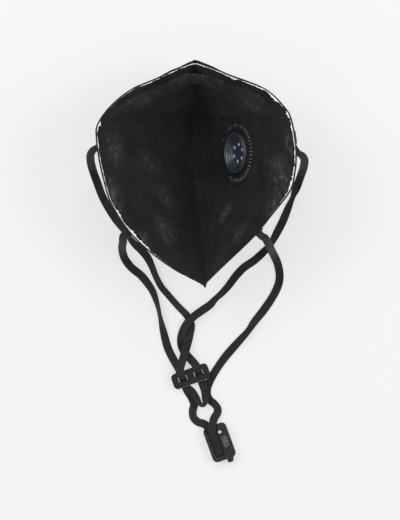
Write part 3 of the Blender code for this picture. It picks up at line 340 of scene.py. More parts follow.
def raw_frame(side, station, share):
    """The point, the inward normal and the direction towards the chin, on the cup's outside."""
    step = SHARE_STEP
    point = raw_surface(side, station, share)
    along = raw_surface(side, station + step, share) - raw_surface(side, station - step, share)
    up = raw_surface(side, station, share + step) - raw_surface(side, station, share - step)
    normal = np.cross(up, along) if side == "right" else np.cross(along, up)
    normal /= np.linalg.norm(normal)
    if normal[2] < 0:
        normal = -normal
    return point, normal, along / np.linalg.norm(along)


VALVE_CENTRE, VALVE_NORMAL, VALVE_DOWN = raw_frame("right", VALVE_STATION, VALVE_SHARE)


def from_valve(place):
    """How far a place is from the valve's axis, and how far along it."""
    away = place - VALVE_CENTRE
    off = float(np.dot(away, VALVE_NORMAL))
    return float(np.linalg.norm(away - off * VALVE_NORMAL)), off


def ease(value):
    value = min(max(value, 0.0), 1.0)
    return value * value * (3.0 - 2.0 * value)


def surface(side, station, share):
    """A point of the cup's outside, with its folds, its flat round the valve and its resting patch."""
    place = raw_surface(side, station, share)
    edge_fade = ease((1.0 - share) / EDGE_FADE)
    crease_fade = ease(share / CREASE_FADE)
    _, normal, _ = raw_frame(side, station, min(max(share, LEAST_SHARE), 1.0 - LEAST_SHARE))
    radius, off_plane = from_valve(place)
    near = 1.0 - ease((radius - VALVE_FLAT_RADIUS) / VALVE_BLEND) if side == "right" else 0.0
    push = fold_push(place[0], place[1]) * edge_fade * crease_fade
    place = place + normal * push * (1.0 - near) - VALVE_NORMAL * off_plane * near
    place[2] = max(place[2], 0.0)
    return place


def rim_point(side, station, inset):
    """A place seen from above, a distance in from the rim and square to it."""
    here = section(station)[side]
    ahead = section(station + STATION_STEP)[side]
    behind = section(station - STATION_STEP)[side]
    run = (ahead - behind)[:2]
    run /= np.linalg.norm(run)
    inward = np.array((-run[1], run[0])) if side == "left" else np.array((run[1], -run[0]))
    return here[:2] + inward * inset


def frame_matrix(origin, x_axis, z_axis):
    """A placement from its origin, its upward axis and a direction close to its x axis."""
    z = Vector(z_axis).normalized()
    x = Vector(x_axis) - z * Vector(x_axis).dot(z)
    x.normalize()
    y = z.cross(x)
    matrix = Matrix((x, y, z)).transposed().to_4x4()
    matrix.translation = Vector(origin)
    return matrix


def tab_placement(side, station, share, lean):
    """Where a tab's middle lies on the cup's outside, its x axis along the strap that leaves it."""
    _, normal, along = raw_frame(side, station, share)
    point = surface(side, station, share)
    up = raw_surface(side, station, share + SHARE_STEP)
    up = up - raw_surface(side, station, share - SHARE_STEP)
    up /= np.linalg.norm(up)
    run = along * math.cos(lean) + up * math.sin(lean)
    offset = GAP + TAB_THICKNESS / 2
    return frame_matrix(point - normal * offset, run, -normal)


def turn_about(run, across):
    """How far a band that lies along a run is turned about it from level, in degrees."""
    level = Vector((-run.y, run.x, 0.0)).normalized()
    if across.dot(level) < 0:
        across = -across
    return math.degrees(math.atan2(across.dot(run.cross(level)), across.dot(level)))


def strap_start(placement, leaving):
    """The first points of a strap, from just past its tab's edge, bending away from the cloth."""
    across = placement.to_3x3() @ Vector((0.0, 1.0, 0.0))
    edge = TAB_LENGTH / 2 + 3 * GAP
    places = [placement @ Vector((edge + ahead, 0.0, out)) for ahead, out in leaving]
    rows = []
    for index, place in enumerate(places):
        last = max(index, 1)
        run = (places[last] - places[last - 1]).normalized()
        rows.append((*place, turn_about(run, across)))
    return rows


def turned_point(middle, turn, across, up, height):
    """A place given across and up a turned piece from its middle, and above the surface."""
    cosine, sine = math.cos(turn), math.sin(turn)
    x = middle[0] + across * cosine - up * sine
    y = middle[1] + across * sine + up * cosine
    return x, y, height, 0


def slot_pass(slot, way):
    """A strap over the slider's top edge, down through a slot and out below."""
    across = slot * SLOT_SPREAD / 2
    return [turned_point(SLIDER_AT, SLIDER_TURN, across, up, height) for up, height in way]


def backward(route):
    """The same stretch run the other way, its turns the other way about it."""
    return [(x, y, z, -turn) for x, y, z, turn in reversed(route)]


def clip_point(across, along, height):
    """A place given across the clip, down it from its middle and above the surface."""
    return turned_point(CLIP_AT, CLIP_TURN, across, -along, height)


def channel_points(layer, way_in):
    """Points of a strap that bends into the clip's channel and stops short of the channel's end."""
    floor = CLIP_THICKNESS - CHANNEL_DEPTH + GAP + STRAP_THICKNESS / 2
    height = floor + layer * (STRAP_THICKNESS + GAP)
    return (
        *(clip_point(*row) for row in way_in),
        clip_point(CHANNEL_MIDDLE, -CLIP_LENGTH / 4, height),
        clip_point(CHANNEL_MIDDLE, 0.0, height),
        clip_point(CHANNEL_MIDDLE, CHANNEL_STOP, height),
    )


def mesh_object(name, points, faces, uvs=None):
    mesh = bpy.data.meshes.new(name)
    mesh.from_pydata([tuple(map(float, point)) for point in points], [], faces)
    mesh.validate()
    if uvs is not None:
        layer = mesh.uv_layers.new(name="UVMap")
        for loop in mesh.loops:
            layer.data[loop.index].uv = uvs[loop.vertex_index]
    mesh.shade_smooth()
    thing = bpy.data.objects.new(name, mesh)
    bpy.context.scene.collection.objects.link(thing)
    return thing


def dress(thing, finish, replaced=()):
    """Gives a new piece its material and its body, and hides the solids that it stands for."""
    thing.data.materials.clear()
    thing.data.materials.append(finish)
    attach(thing, "root")
    if replaced:
        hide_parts(*replaced)
    return thing


def applied(thing):
    """The mesh with its modifiers made real."""
    graph = bpy.context.evaluated_depsgraph_get()
    mesh = bpy.data.meshes.new_from_object(thing.evaluated_get(graph))
    old = thing.data
    thing.modifiers.clear()
    thing.data = mesh
    bpy.data.meshes.remove(old)
    mesh.shade_smooth()
    return thing


# Materials


class Nodes:
    """A short way to write a material's nodes."""

    def __init__(self, name):
        self.material = bpy.data.materials.new(name)
        self.material.use_nodes = True
        self.tree = self.material.node_tree
        self.shader = self.tree.nodes["Principled BSDF"]

    def add(self, kind, **values):
        """A new node; values that start with in_ go to its sockets, the rest to the node itself."""
        node = self.tree.nodes.new(kind)
        for key, value in values.items():
            if key.startswith("in_"):
                node.inputs[key[3:].replace("_", " ")].default_value = value
            else:
                setattr(node, key, value)
        return node

    def link(self, source, target):
        self.tree.links.new(source, target)

    def place(self, scale=(1.0, 1.0, 1.0), turn=(0.0, 0.0, 0.0), uv=False):
        where = self.add("ShaderNodeTexCoord")
        mapping = self.add("ShaderNodeMapping")
        mapping.inputs["Scale"].default_value = scale
        mapping.inputs["Rotation"].default_value = turn
        self.link(where.outputs["UV" if uv else "Object"], mapping.inputs["Vector"])
        return mapping.outputs["Vector"]

    def texture(self, kind, vector, scale, **values):
        node = self.add(f"ShaderNodeTex{kind}", in_Scale=scale, **values)
        self.link(vector, node.inputs["Vector"])
        return node

    def noise(self, vector, scale, detail, rough):
        return self.texture("Noise", vector, scale, in_Detail=detail, in_Roughness=rough).outputs["Fac"]

    def voronoi(self, vector, scale):
        return self.texture("Voronoi", vector, scale).outputs["Distance"]

    def wave(self, vector, scale, way, distortion=0.0):
        node = self.texture("Wave", vector, scale, in_Distortion=distortion, bands_direction=way)
        return node.outputs["Fac"]

    def ramp(self, value, *stops):
        node = self.add("ShaderNodeValToRGB")
        elements = node.color_ramp.elements
        while len(elements) < len(stops):
            elements.new(0.5)
        for element, (place, colour) in zip(elements, stops):
            element.position = place
            element.color = (*colour, 1.0) if len(colour) == 3 else (colour[0],) * 3 + (1.0,)
        self.link(value, node.inputs["Fac"])
        return node.outputs["Color"]

    def maths(self, operation, first, second=None):
        node = self.add("ShaderNodeMath", operation=operation)
        for socket, value in zip(node.inputs, (first, second)):
            if value is None:
                continue
            if isinstance(value, (int, float)):
                socket.default_value = value
            else:
                self.link(value, socket)
        return node.outputs["Value"]

    def bump(self, *layers):
        """Layers are (height socket, strength, distance in metres)."""
        normal = None
        for height, strength, distance in layers:
            node = self.add("ShaderNodeBump", in_Strength=strength, in_Distance=distance)
            self.link(height, node.inputs["Height"])
            if normal is not None:
                self.link(normal, node.inputs["Normal"])
            normal = node.outputs["Normal"]
        self.link(normal, self.shader.inputs["Normal"])

    def set(self, **values):
        for key, value in values.items():
            self.shader.inputs[key.replace("_", " ")].default_value = value

    def tint(self, value, *stops):
        self.link(self.ramp(value, *stops), self.shader.inputs["Base Color"])

    def about(self, at, turn, size=(1.0, 1.0)):
        """Places measured from a point seen from above, turned, in shares of a size."""
        spot = self.add("ShaderNodeMapping", vector_type="TEXTURE")
        spot.inputs["Location"].default_value = (*at, 0.0)
        spot.inputs["Rotation"].default_value = (0.0, 0.0, turn)
        spot.inputs["Scale"].default_value = (*size, 100.0)
        self.link(self.add("ShaderNodeTexCoord").outputs["Object"], spot.inputs["Vector"])
        return spot.outputs["Vector"]


# Painted sheen: lighter patches where the cloth's sheen catches the light. Across and along in metres, their
# half sizes, lean and strength
PAINTED_SHEEN = (
    (-0.0590, -0.0150, 0.006, 0.015, 0.35, 0.55), (-0.0580, 0.0180, 0.007, 0.017, 0.30, 0.42),
    (-0.0330, 0.0090, 0.006, 0.010, 0.50, 0.38), (-0.0220, -0.0170, 0.005, 0.012, 0.40, 0.38),
    (-0.0230, -0.0400, 0.007, 0.012, 0.45, 0.42), (-0.0370, -0.0480, 0.004, 0.010, 0.35, 0.36),
    (-0.0430, 0.0500, 0.022, 0.005, 0.42, 0.36), (0.0390, 0.0500, 0.022, 0.005, -0.42, 0.34),
    (0.0210, -0.0280, 0.003, 0.009, -0.45, 0.60), (0.0590, -0.0010, 0.010, 0.018, 0.10, 0.44),
    (0.0560, -0.0200, 0.005, 0.013, -0.50, 0.42), (0.0300, -0.0430, 0.004, 0.009, -0.45, 0.40),
    (0.0660, 0.0200, 0.004, 0.012, 0.25, 0.34), (-0.0040, 0.0130, 0.003, 0.014, 0.00, 0.26),
)


def cloth_material(name, dark, light, sheen, rough=0.86, painted_sheen=()):
    made = Nodes(name)
    where = made.place()
    # Partly random tone, partly painted shade and sheen: the mottle lightens and darkens the cloth in patches
    # like light on its rumples
    rumple = made.noise(where, 70.0, 5.0, 0.6)
    patches = made.noise(where, 26.0, 3.0, 0.5)
    mixed = made.maths("MULTIPLY", rumple, patches)
    streak = made.noise(made.place((1.0, 0.42, 0.6), (0.0, 0.0, 0.35)), 430.0, 5.0, 0.75)
    sheen_mask = None
    # Painted sheen: each patch lightens the cloth in streaks, standing in for light on its sheen
    for x, y, half, tall, lean, strength in painted_sheen:
        reach = made.add("ShaderNodeVectorMath", operation="LENGTH")
        made.link(made.about((x, y), lean, (half, tall)), reach.inputs[0])
        near = made.maths("MAXIMUM", made.maths("SUBTRACT", 1.25, reach.outputs["Value"]), 0.0)
        near = made.maths("MULTIPLY", near, strength)
        sheen_mask = near if sheen_mask is None else made.maths("MAXIMUM", sheen_mask, near)
    if sheen_mask is not None:
        sheen_streaks = made.maths("POWER", made.maths("MULTIPLY", streak, 1.85), 4.5)
        mixed = made.maths("ADD", mixed, made.maths("MULTIPLY", sheen_mask, sheen_streaks))
        # Painted glints: small bright specks where fibres catch the light
        specks = made.maths("LESS_THAN", made.voronoi(where, 210.0), 0.075)
        mixed = made.maths("ADD", mixed, made.maths("MULTIPLY", specks, made.maths("MULTIPLY", streak, 0.5)))
    # The ramp's top stop is the painted sheen's lightest tone
    made.tint(mixed, (0.14, (dark,)), (0.42, (light,)), (1.0, (0.052, 0.052, 0.051)))
    fibre = made.noise(where, 2600.0, 3.0, 0.7)
    dots = made.voronoi(where, 900.0)
    fuzz = made.noise(where, 420.0, 4.0, 0.6)
    crumple = made.noise(made.place((1.0, 0.6, 0.8), (0.0, 0.0, 0.3)), 110.0, 3.0, 0.5)
    made.bump((crumple, 0.5, 0.0030), (fuzz, 0.5, 0.0006), (dots, 0.25, 0.0002), (fibre, 0.35, 0.0002))
    made.set(Roughness=rough, Sheen_Weight=sheen, Sheen_Roughness=0.45, Specular_IOR_Level=0.3)
    return made.material


def foam_material():
    made = Nodes("black_foam")
    where = made.place()
    cells = made.voronoi(where, 1500.0)
    patches = made.noise(where, 60.0, 4.0, 0.6)
    lint = made.noise(where, 750.0, 4.0, 0.7)
    mixed = made.maths("MULTIPLY", patches, made.maths("MULTIPLY", lint, 2.0))
    specks = made.maths("LESS_THAN", made.voronoi(where, 330.0), 0.09)
    mixed = made.maths("ADD", mixed, made.maths("MULTIPLY", specks, 0.25))
    made.tint(mixed, (0.30, (0.008,)), (0.62, (0.026,)), (0.85, (0.09,)))
    made.bump((patches, 0.6, 0.0010), (lint, 0.6, 0.0005), (cells, 0.5, 0.0003))
    made.set(Roughness=0.95, Sheen_Weight=0.05, Sheen_Roughness=0.5, Specular_IOR_Level=0.2)
    return made.material


def ply_material():
    made = Nodes("pale_filter_ply")
    where = made.place()
    fuzz = made.noise(where, 900.0, 4.0, 0.7)
    made.tint(fuzz, (0.3, (0.62, 0.62, 0.61)), (0.65, (0.88, 0.88, 0.87)))
    made.bump((fuzz, 0.6, 0.0003))
    made.set(Roughness=0.9, Specular_IOR_Level=0.2)
    return made.material


def elastic_material():
    """Knitted flat elastic: fine ribs along the band and short stitches across them."""
    made = Nodes("knitted_elastic")
    where = made.place(uv=True)
    ribs = made.wave(where, 1.75, "Y")
    stitches = made.wave(where, 1.1, "X", 1.5)
    fuzz = made.noise(made.place(), 1600.0, 3.0, 0.7)
    patches = made.noise(made.place(), 60.0, 3.0, 0.5)
    made.tint(patches, (0.3, (0.018,)), (0.7, (0.031,)))
    made.bump((ribs, 0.45, 0.0003), (stitches, 0.3, 0.0002), (fuzz, 0.4, 0.0002))
    made.set(Roughness=0.9, Sheen_Weight=0.06, Sheen_Roughness=0.5, Specular_IOR_Level=0.2)
    return made.material


def tab_material():
    made = Nodes("tab_elastic")
    where = made.place()
    weave = made.wave(made.place(turn=(0.6, 0.4, 0.3)), 520.0, "X")
    dots = made.voronoi(where, 620.0)
    made.tint(dots, (0.1, (0.012,)), (0.6, (0.024,)))
    made.bump((weave, 0.4, 0.0002), (dots, 0.6, 0.0004))
    made.set(Roughness=0.85, Sheen_Weight=0.3, Specular_IOR_Level=0.3)
    return made.material


def plastic_material(name, dark, light, rough, tint=(0.0, 0.0, 0.0), shine=0.5):
    made = Nodes(name)
    where = made.place()
    mottle = made.noise(where, 160.0, 4.0, 0.55)
    grain = made.noise(where, 2200.0, 3.0, 0.6)
    low = tuple(dark + part for part in tint)
    high = tuple(light + part for part in tint)
    made.tint(mottle, (0.3, low), (0.7, high))
    smear = made.ramp(mottle, (0.25, (rough * 0.8,)), (0.8, (rough * 1.3,)))
    made.link(smear, made.shader.inputs["Roughness"])
    made.bump((mottle, 0.12, 0.0006), (grain, 0.10, 0.0001))
    made.set(Specular_IOR_Level=shine)
    return made.material


# How wide the painted highlight along the slider's lower edge is
EDGE_HIGHLIGHT = 0.00045


def plate_material(name):
    """The slider's plastic, with a painted highlight line along its lower edge."""
    made = Nodes(name)
    where = made.place()
    mottle = made.noise(where, 160.0, 4.0, 0.55)
    split = made.add("ShaderNodeSeparateXYZ")
    made.link(made.about(SLIDER_AT, SLIDER_TURN), split.inputs["Vector"])
    # Painted highlight: a bright line where the plate's lower edge catches the light
    edge = made.maths("LESS_THAN", split.outputs["Y"], EDGE_HIGHLIGHT - SLIDER_HEIGHT / 2)
    value = made.maths("ADD", made.maths("MULTIPLY", mottle, 0.6), made.maths("MULTIPLY", edge, 0.5))
    made.tint(value, (0.2, (0.006, 0.007, 0.010)), (0.45, (0.013, 0.014, 0.018)), (0.9, (0.11, 0.12, 0.13)))
    grain = made.noise(where, 2200.0, 3.0, 0.6)
    made.bump((mottle, 0.3, 0.0010), (grain, 0.10, 0.0001))
    made.set(Roughness=0.34, Specular_IOR_Level=0.30)
    return made.material


def painted_highlight_material(name):
    """Glossy latch plastic with painted highlights: small bright flecks, a little drawn out, stand in for
    light caught on its raised surface.
    """
    made = Nodes(name)
    where = made.place((1.0, 0.35, 1.0), (0.0, 0.0, 0.30))
    highlight_flecks = made.noise(where, 1700.0, 3.0, 0.6)
    # Painted highlights: the two brightest stops
    made.tint(highlight_flecks, (0.40, (0.018,)), (0.60, (0.11,)), (0.78, (0.34,)))
    made.bump((highlight_flecks, 0.5, 0.0004))
    made.set(Roughness=0.3, Specular_IOR_Level=0.5)
    return made.material


def glint_material(name, colour):
    made = Nodes(name)
    where = made.place()
    streak = made.noise(where, 900.0, 2.0, 0.5)
    dim = tuple(part * 0.5 for part in colour)
    made.tint(streak, (0.35, dim), (0.6, colour))
    made.bump((streak, 0.2, 0.0002))
    made.set(Roughness=0.22, Specular_IOR_Level=0.8, Coat_Weight=0.6)
    # Painted light: the bulge glows faintly, standing in for light that shines through the hole
    made.set(Emission_Color=(*colour, 1.0), Emission_Strength=0.3)
    return made.material


# The cup

FINE_ROWS = 11
FINE_COLUMNS = 42
RUMPLE = 0.0012
RUMPLE_CELLS = (95.0, 62.0, 80.0)
# The share of its thickness that the cloth has beside the crease and at the rim
CREASE_SHARE = 0.70
RIM_SHARE = 0.45


def rumple(point, amount):
    """Small uneven swells of handled cloth, a little longer down the cup than across it."""
    stretched = Vector([part * cells for part, cells in zip(point, RUMPLE_CELLS)])
    large = noise.noise(stretched, noise_basis="PERLIN_ORIGINAL")
    ridge = 1.0 - 2.0 * abs(noise.noise(stretched * 1.9 + Vector((7.0, 3.0, 1.0))))
    fine = noise.noise(stretched * 4.3)
    return amount * (0.55 * large + 0.30 * ridge + 0.20 * fine)


def cup_point(side, station, share):
    """The outside of the cup with the cloth's unevenness, which fades at rim, crease and valve."""
    place = surface(side, station, share)
    _, normal, _ = raw_frame(side, station, min(max(share, 0.03), 0.97))
    radius, _ = from_valve(place)
    still = ease((radius - VALVE_FLAT_RADIUS) / VALVE_BLEND) if side == "right" else 1.0
    still *= ease((1.0 - share) / 0.05) * ease(share / 0.10)
    place = place + normal * rumple(place, RUMPLE) * still
    place[2] = max(place[2], 0.0)
    return place


def make_cup(finish):
    shares = [(column / FINE_COLUMNS) ** 1.1 for column in range(FINE_COLUMNS + 1)]
    columns = [("left", share) for share in reversed(shares[1:])]
    columns += [("right", share) for share in shares]
    count = (len(SECTIONS) - 1) * FINE_ROWS
    stations = [0.12] + [row / FINE_ROWS for row in range(1, count)] + [count / FINE_ROWS - 0.06]
    grid = [[cup_point(side, row, share) for side, share in columns] for row in stations]
    wide = len(columns)
    points = [point for row in grid for point in row]
    faces = []
    for row in range(len(grid) - 1):
        for column in range(wide - 1):
            first = row * wide + column
            corners = (first, first + wide, first + wide + 1, first + 1)
            radius, off = from_valve(sum(points[index] for index in corners) / 4)
            if radius > SEAT_BARREL_RADIUS + 2 * GAP or abs(off) > SEAT_BARREL_REACH + 0.001:
                faces.append(corners)
    cup = mesh_object("cup_cloth", points, faces)
    solid = cup.modifiers.new("wall", "SOLIDIFY")
    solid.thickness = WALL * 0.94
    upward = sum(face.normal.z * face.area for face in cup.data.polygons) > 0
    solid.offset = 1.0 if upward else -1.0
    solid.use_even_offset = False
    group = cup.vertex_groups.new(name="wall")
    for index in range(len(points)):
        column = index % wide
        on_crease = abs(column - FINE_COLUMNS) <= 1
        on_rim = column in (0, wide - 1)
        group.add([index], CREASE_SHARE if on_crease else (RIM_SHARE if on_rim else 1.0), "REPLACE")
    solid.vertex_group = group.name
    applied(cup)
    dress(cup, finish, ("mask_shell",))
    return cup


def faces_out(thing, gap=0.0):
    """Turns a piece's faces outward, after it joins points that are nearer than the gap."""
    shape = bmesh.new()
    shape.from_mesh(thing.data)
    if gap:
        bmesh.ops.remove_doubles(shape, verts=shape.verts[:], dist=gap)
    bmesh.ops.recalc_face_normals(shape, faces=shape.faces[:])
    shape.to_mesh(thing.data)
    shape.free()
    return thing


def tube_faces(rows, ring):
    """The faces of a closed tube that has so many rings of so many points, with both its ends."""
    faces = []
    for row in range(rows - 1):
        first, second = row * ring, (row + 1) * ring
        for step in range(ring):
            after = (step + 1) % ring
            faces.append((first + step, second + step, second + after, first + after))
    last = (rows - 1) * ring
    return faces + [tuple(range(ring)), tuple(last + step for step in reversed(range(ring)))]


def turned_faces(steps, count, closed):
    """The faces between each row of points about an axis and the next row round it."""
    faces = []
    for step in range(steps):
        here, there = step * count, (step + 1) % steps * count
        for index in range(count if closed else count - 1):
            after = (index + 1) % count
            faces.append((here + index, there + index, there + after, here + after))
    return faces


def tree_of(thing):
    return BVHTree.FromObject(thing, bpy.context.evaluated_depsgraph_get())


def laid_on(tree, x, y):
    above = Vector((x, y, 2 * RIGHT_LIFT))
    point, normal, _, _ = tree.ray_cast(above, Vector((0.0, 0.0, -1.0)))
    return np.array(point), np.array(normal if normal.z > 0 else -normal)


def swept_strip(name, rails, thickness, crown):
    """A closed strip between two rails of (point, normal), crowned over its width."""
    across = 7
    points, uvs = [], []
    length = 0.0
    for index, ((left, left_normal), (right, right_normal)) in enumerate(rails):
        if index:
            length += float(np.linalg.norm(left - rails[index - 1][0][0]))
        for top in (True, False):
            order = range(across) if top else reversed(range(across))
            for step in order:
                share = step / (across - 1)
                normal = left_normal + (right_normal - left_normal) * share
                place = left + (right - left) * share
                arch = crown * (1 - (2 * share - 1) ** 2) + thickness * (1 - (2 * share - 1) ** 8)
                points.append(place + normal * (arch if top else 0.0))
                uvs.append((length * 1000, share * 10))
    return faces_out(mesh_object(name, points, tube_faces(len(rails), 2 * across), uvs))


def make_pad(tree, finish):
    """The foam strip under the nose, soft edged, with a slightly uneven lower edge."""
    places = [("left", PAD_END_STATION_LEFT * share) for share in np.linspace(1.0, PAD_NOTCH_LEFT, 46)]
    places += [("right", PAD_END_STATION_RIGHT * share) for share in np.linspace(PAD_NOTCH_RIGHT, 1.0, 46)]
    rails = []
    for index, (side, station) in enumerate(places):
        end = min(index, len(places) - 1 - index) / 7.0
        narrow = math.sqrt(max(0.05, 1.0 - (1.0 - min(end, 1.0)) ** 2))
        row = []
        for across in (-0.5, 0.5):
            wobble = 0.0004 * noise.noise(Vector((index * 0.35, across * 9.0, 2.0)))
            inset = PAD_DROP + PAD_WIDTH * (0.5 + across * narrow) + wobble
            x, y = rim_point(side, station, inset)
            point, normal = laid_on(tree, x, y)
            row.append((point + normal * 0.0002, normal))
        rails.append(row)
    pad = swept_strip("nose_foam", rails, PAD_THICKNESS * 0.55, PAD_THICKNESS * 0.35)
    dress(pad, finish, ("nose_pad",))
    return pad


# How wide the pale ply shows along each rim, in shares of its solid's width, by station
PLY_LEFT = ((0.0, 0.4), (0.4, 0.55), (0.8, 0.2), (1.2, 0.4), (1.6, 0.1), (2.0, 0.4), (2.4, 0.6),
            (2.7, 0.1), (4.7, 0.0), (4.9, 1.0), (5.3, 0.8), (5.6, 0.3), (7.0, 0.32), (9.0, 0.22),
            (9.3, 0.7), (9.7, 0.25), (10.1, 1.0), (10.6, 0.9), (10.9, 0.2), (11.4, 0.05), (13.0, 0.0))
PLY_RIGHT = ((0.0, 0.4), (0.5, 0.45), (0.9, 0.2), (1.3, 0.4), (1.5, 0.15), (1.9, 0.7), (2.6, 0.7),
             (2.9, 0.4), (3.2, 1.0), (4.2, 0.9), (5.0, 0.6), (6.5, 0.5), (7.4, 0.3), (8.0, 0.9), (9.2, 0.8),
             (9.5, 0.2), (10.2, 0.0), (13.0, 0.0))


def make_ply(tree, finish):
    """The pale ply's edge inside the rim, coming and going as the crimped layers part."""
    last = len(SECTIONS) - 1
    rails = []
    for side, table in (("left", PLY_LEFT), ("right", PLY_RIGHT)):
        stations = np.arange(0.22, last - 0.25, 0.07)
        if side == "left":
            stations = stations[::-1]
        known, widths = zip(*table)
        for station in stations:
            share = float(np.interp(station, known, widths))
            ragged = 1.0 + 1.6 * noise.noise(Vector((station * 5.1, 4.0 if side == "left" else 9.0, 0.5)))
            crimp = 1.0 + 0.35 * math.sin(station * 42.0)
            width = max(0.00003, PLY_WIDTH * 0.8 * share * ragged * crimp)
            shown = ease(share * ragged / 0.25)
            row = []
            for inset in (PLY_INSET + 0.0001, PLY_INSET + 0.0001 + width):
                x, y = rim_point(side, station, inset)
                point, normal = laid_on(tree, x, y)
                row.append((point + normal * (0.00065 * shown - 0.0004), normal))
            rails.append(row)
    ply = swept_strip("ply_edge", rails, PLY_THICKNESS * 0.5, 0.0001)
    return dress(ply, finish, ("filter_edge",))


# Bands


def band_route(rows):
    """The route as a fine smooth line: points, width directions and face directions."""
    rows = np.asarray(rows, float)
    line = np.array([smooth_row(rows, place) for place in np.linspace(0, len(rows) - 1, 30 * len(rows))])
    steps = np.linalg.norm(np.diff(line[:, :3], axis=0), axis=1)
    gone = np.concatenate(([0.0], np.cumsum(steps)))
    count = int(gone[-1] / BAND_STEP)
    even = np.linspace(0, gone[-1], count + 1)
    line = np.column_stack([np.interp(even, gone, column) for column in line.T])
    lean = np.radians(line[:, 3])
    lowest = np.abs(np.sin(lean)) * STRAP_WIDTH / 2 + np.abs(np.cos(lean)) * STRAP_THICKNESS / 2
    line[:, 2] = np.maximum(line[:, 2], lowest)
    runs = np.gradient(line[:, :3], axis=0)
    runs /= np.linalg.norm(runs, axis=1)[:, None]
    widths, faces = [], []
    for run, turn in zip(runs, lean):
        level = np.array((-run[1], run[0], 0.0))
        if np.linalg.norm(level) < 0.05 and widths:
            level = widths[-1] - run * np.dot(widths[-1], run)
        level /= np.linalg.norm(level)
        up = np.cross(run, level)
        width = level * math.cos(turn) + up * math.sin(turn)
        if widths and np.dot(width, widths[-1]) < 0:
            width = -width
        widths.append(width)
        faces.append(np.cross(run, width))
    return line[:, :3], np.array(widths), np.array(faces)


BAND_STEP = 0.0011
BAND_PROFILE = (
    (-0.50, 0.00), (-0.475, 0.34), (-0.40, 0.46), (-0.25, 0.43), (0.0, 0.48), (0.25, 0.43), (0.40, 0.46),
    (0.475, 0.34), (0.50, 0.00), (0.475, -0.34), (0.40, -0.46), (0.0, -0.46), (-0.40, -0.46), (-0.475, -0.34),
)


def make_band(name, rows, finish, node):
    line, widths, faces_up = band_route(rows)
    points, uvs = [], []
    for index, (place, width, face) in enumerate(zip(line, widths, faces_up)):
        swell = 1.0 + 0.03 * noise.noise(Vector((index * 0.09, len(rows), 1.5)))
        for across, height in BAND_PROFILE:
            points.append(place + width * across * STRAP_WIDTH * swell + face * height * STRAP_THICKNESS)
            uvs.append((index * BAND_STEP * 1000, across * 6))
    band = faces_out(mesh_object(name, points, tube_faces(len(line), len(BAND_PROFILE)), uvs))
    dress(band, finish, (node,))
    length = float(np.linalg.norm(np.diff(line, axis=0), axis=1).sum())
    path = [tuple(point) for point in line[::3]] + [tuple(line[-1])]
    return band, line, path, length


# Turned pieces of the valve

JOIN_GAP = 0.000005


def lathe(name, profile, placement, steps=96, closed=False):
    count = len(profile)
    points = []
    for step in range(steps):
        turn = 2 * math.pi * step / steps
        for radius, height in profile:
            points.append(placement @ Vector((radius * math.cos(turn), radius * math.sin(turn), height)))
    thing = faces_out(mesh_object(name, points, turned_faces(steps, count, closed)), JOIN_GAP)
    thing.data.shade_smooth()
    return thing


def drilled(thing, shapes):
    """Cuts cylinders (radius, depth) or boxes (x, y, z), each at its placement, out of a piece."""
    mesh = bpy.data.meshes.new("drill")
    shape = bmesh.new()
    for size, placement in shapes:
        if len(size) == 3:
            bmesh.ops.create_cube(shape, size=1.0, matrix=placement @ Matrix.Diagonal((*size, 1.0)))
        else:
            bmesh.ops.create_cone(
                shape, cap_ends=True, segments=28, radius1=size[0], radius2=size[0],
                depth=size[1], matrix=placement,
            )
    shape.to_mesh(mesh)
    shape.free()
    drill = bpy.data.objects.new("drill", mesh)
    bpy.context.scene.collection.objects.link(drill)
    boolean = thing.modifiers.new("cut", "BOOLEAN")
    boolean.operation = "DIFFERENCE"
    boolean.solver = "EXACT"
    boolean.object = drill
    applied(thing)
    bpy.data.objects.remove(drill, do_unlink=True)
    thing.data.set_sharp_from_angle(angle=0.6)
    return thing


def seat_hole(placement, index, height):
    turn = SEAT_HOLE_TURN + 2 * math.pi * index / SEAT_HOLES
    x, y = SEAT_HOLE_CIRCLE * math.cos(turn), SEAT_HOLE_CIRCLE * math.sin(turn)
    return placement @ Matrix.Translation((x, y, height))


# The disc's round edge, and each ring's hollow foot and round crest: how far out, and how high
SEAT_EDGE = 0.0006
RING_FOOT = 0.0003
RING_OUT = 0.0005
RING_HALF = 0.0003
RING_LIFT = 0.00005
RING_RISE = 0.00025


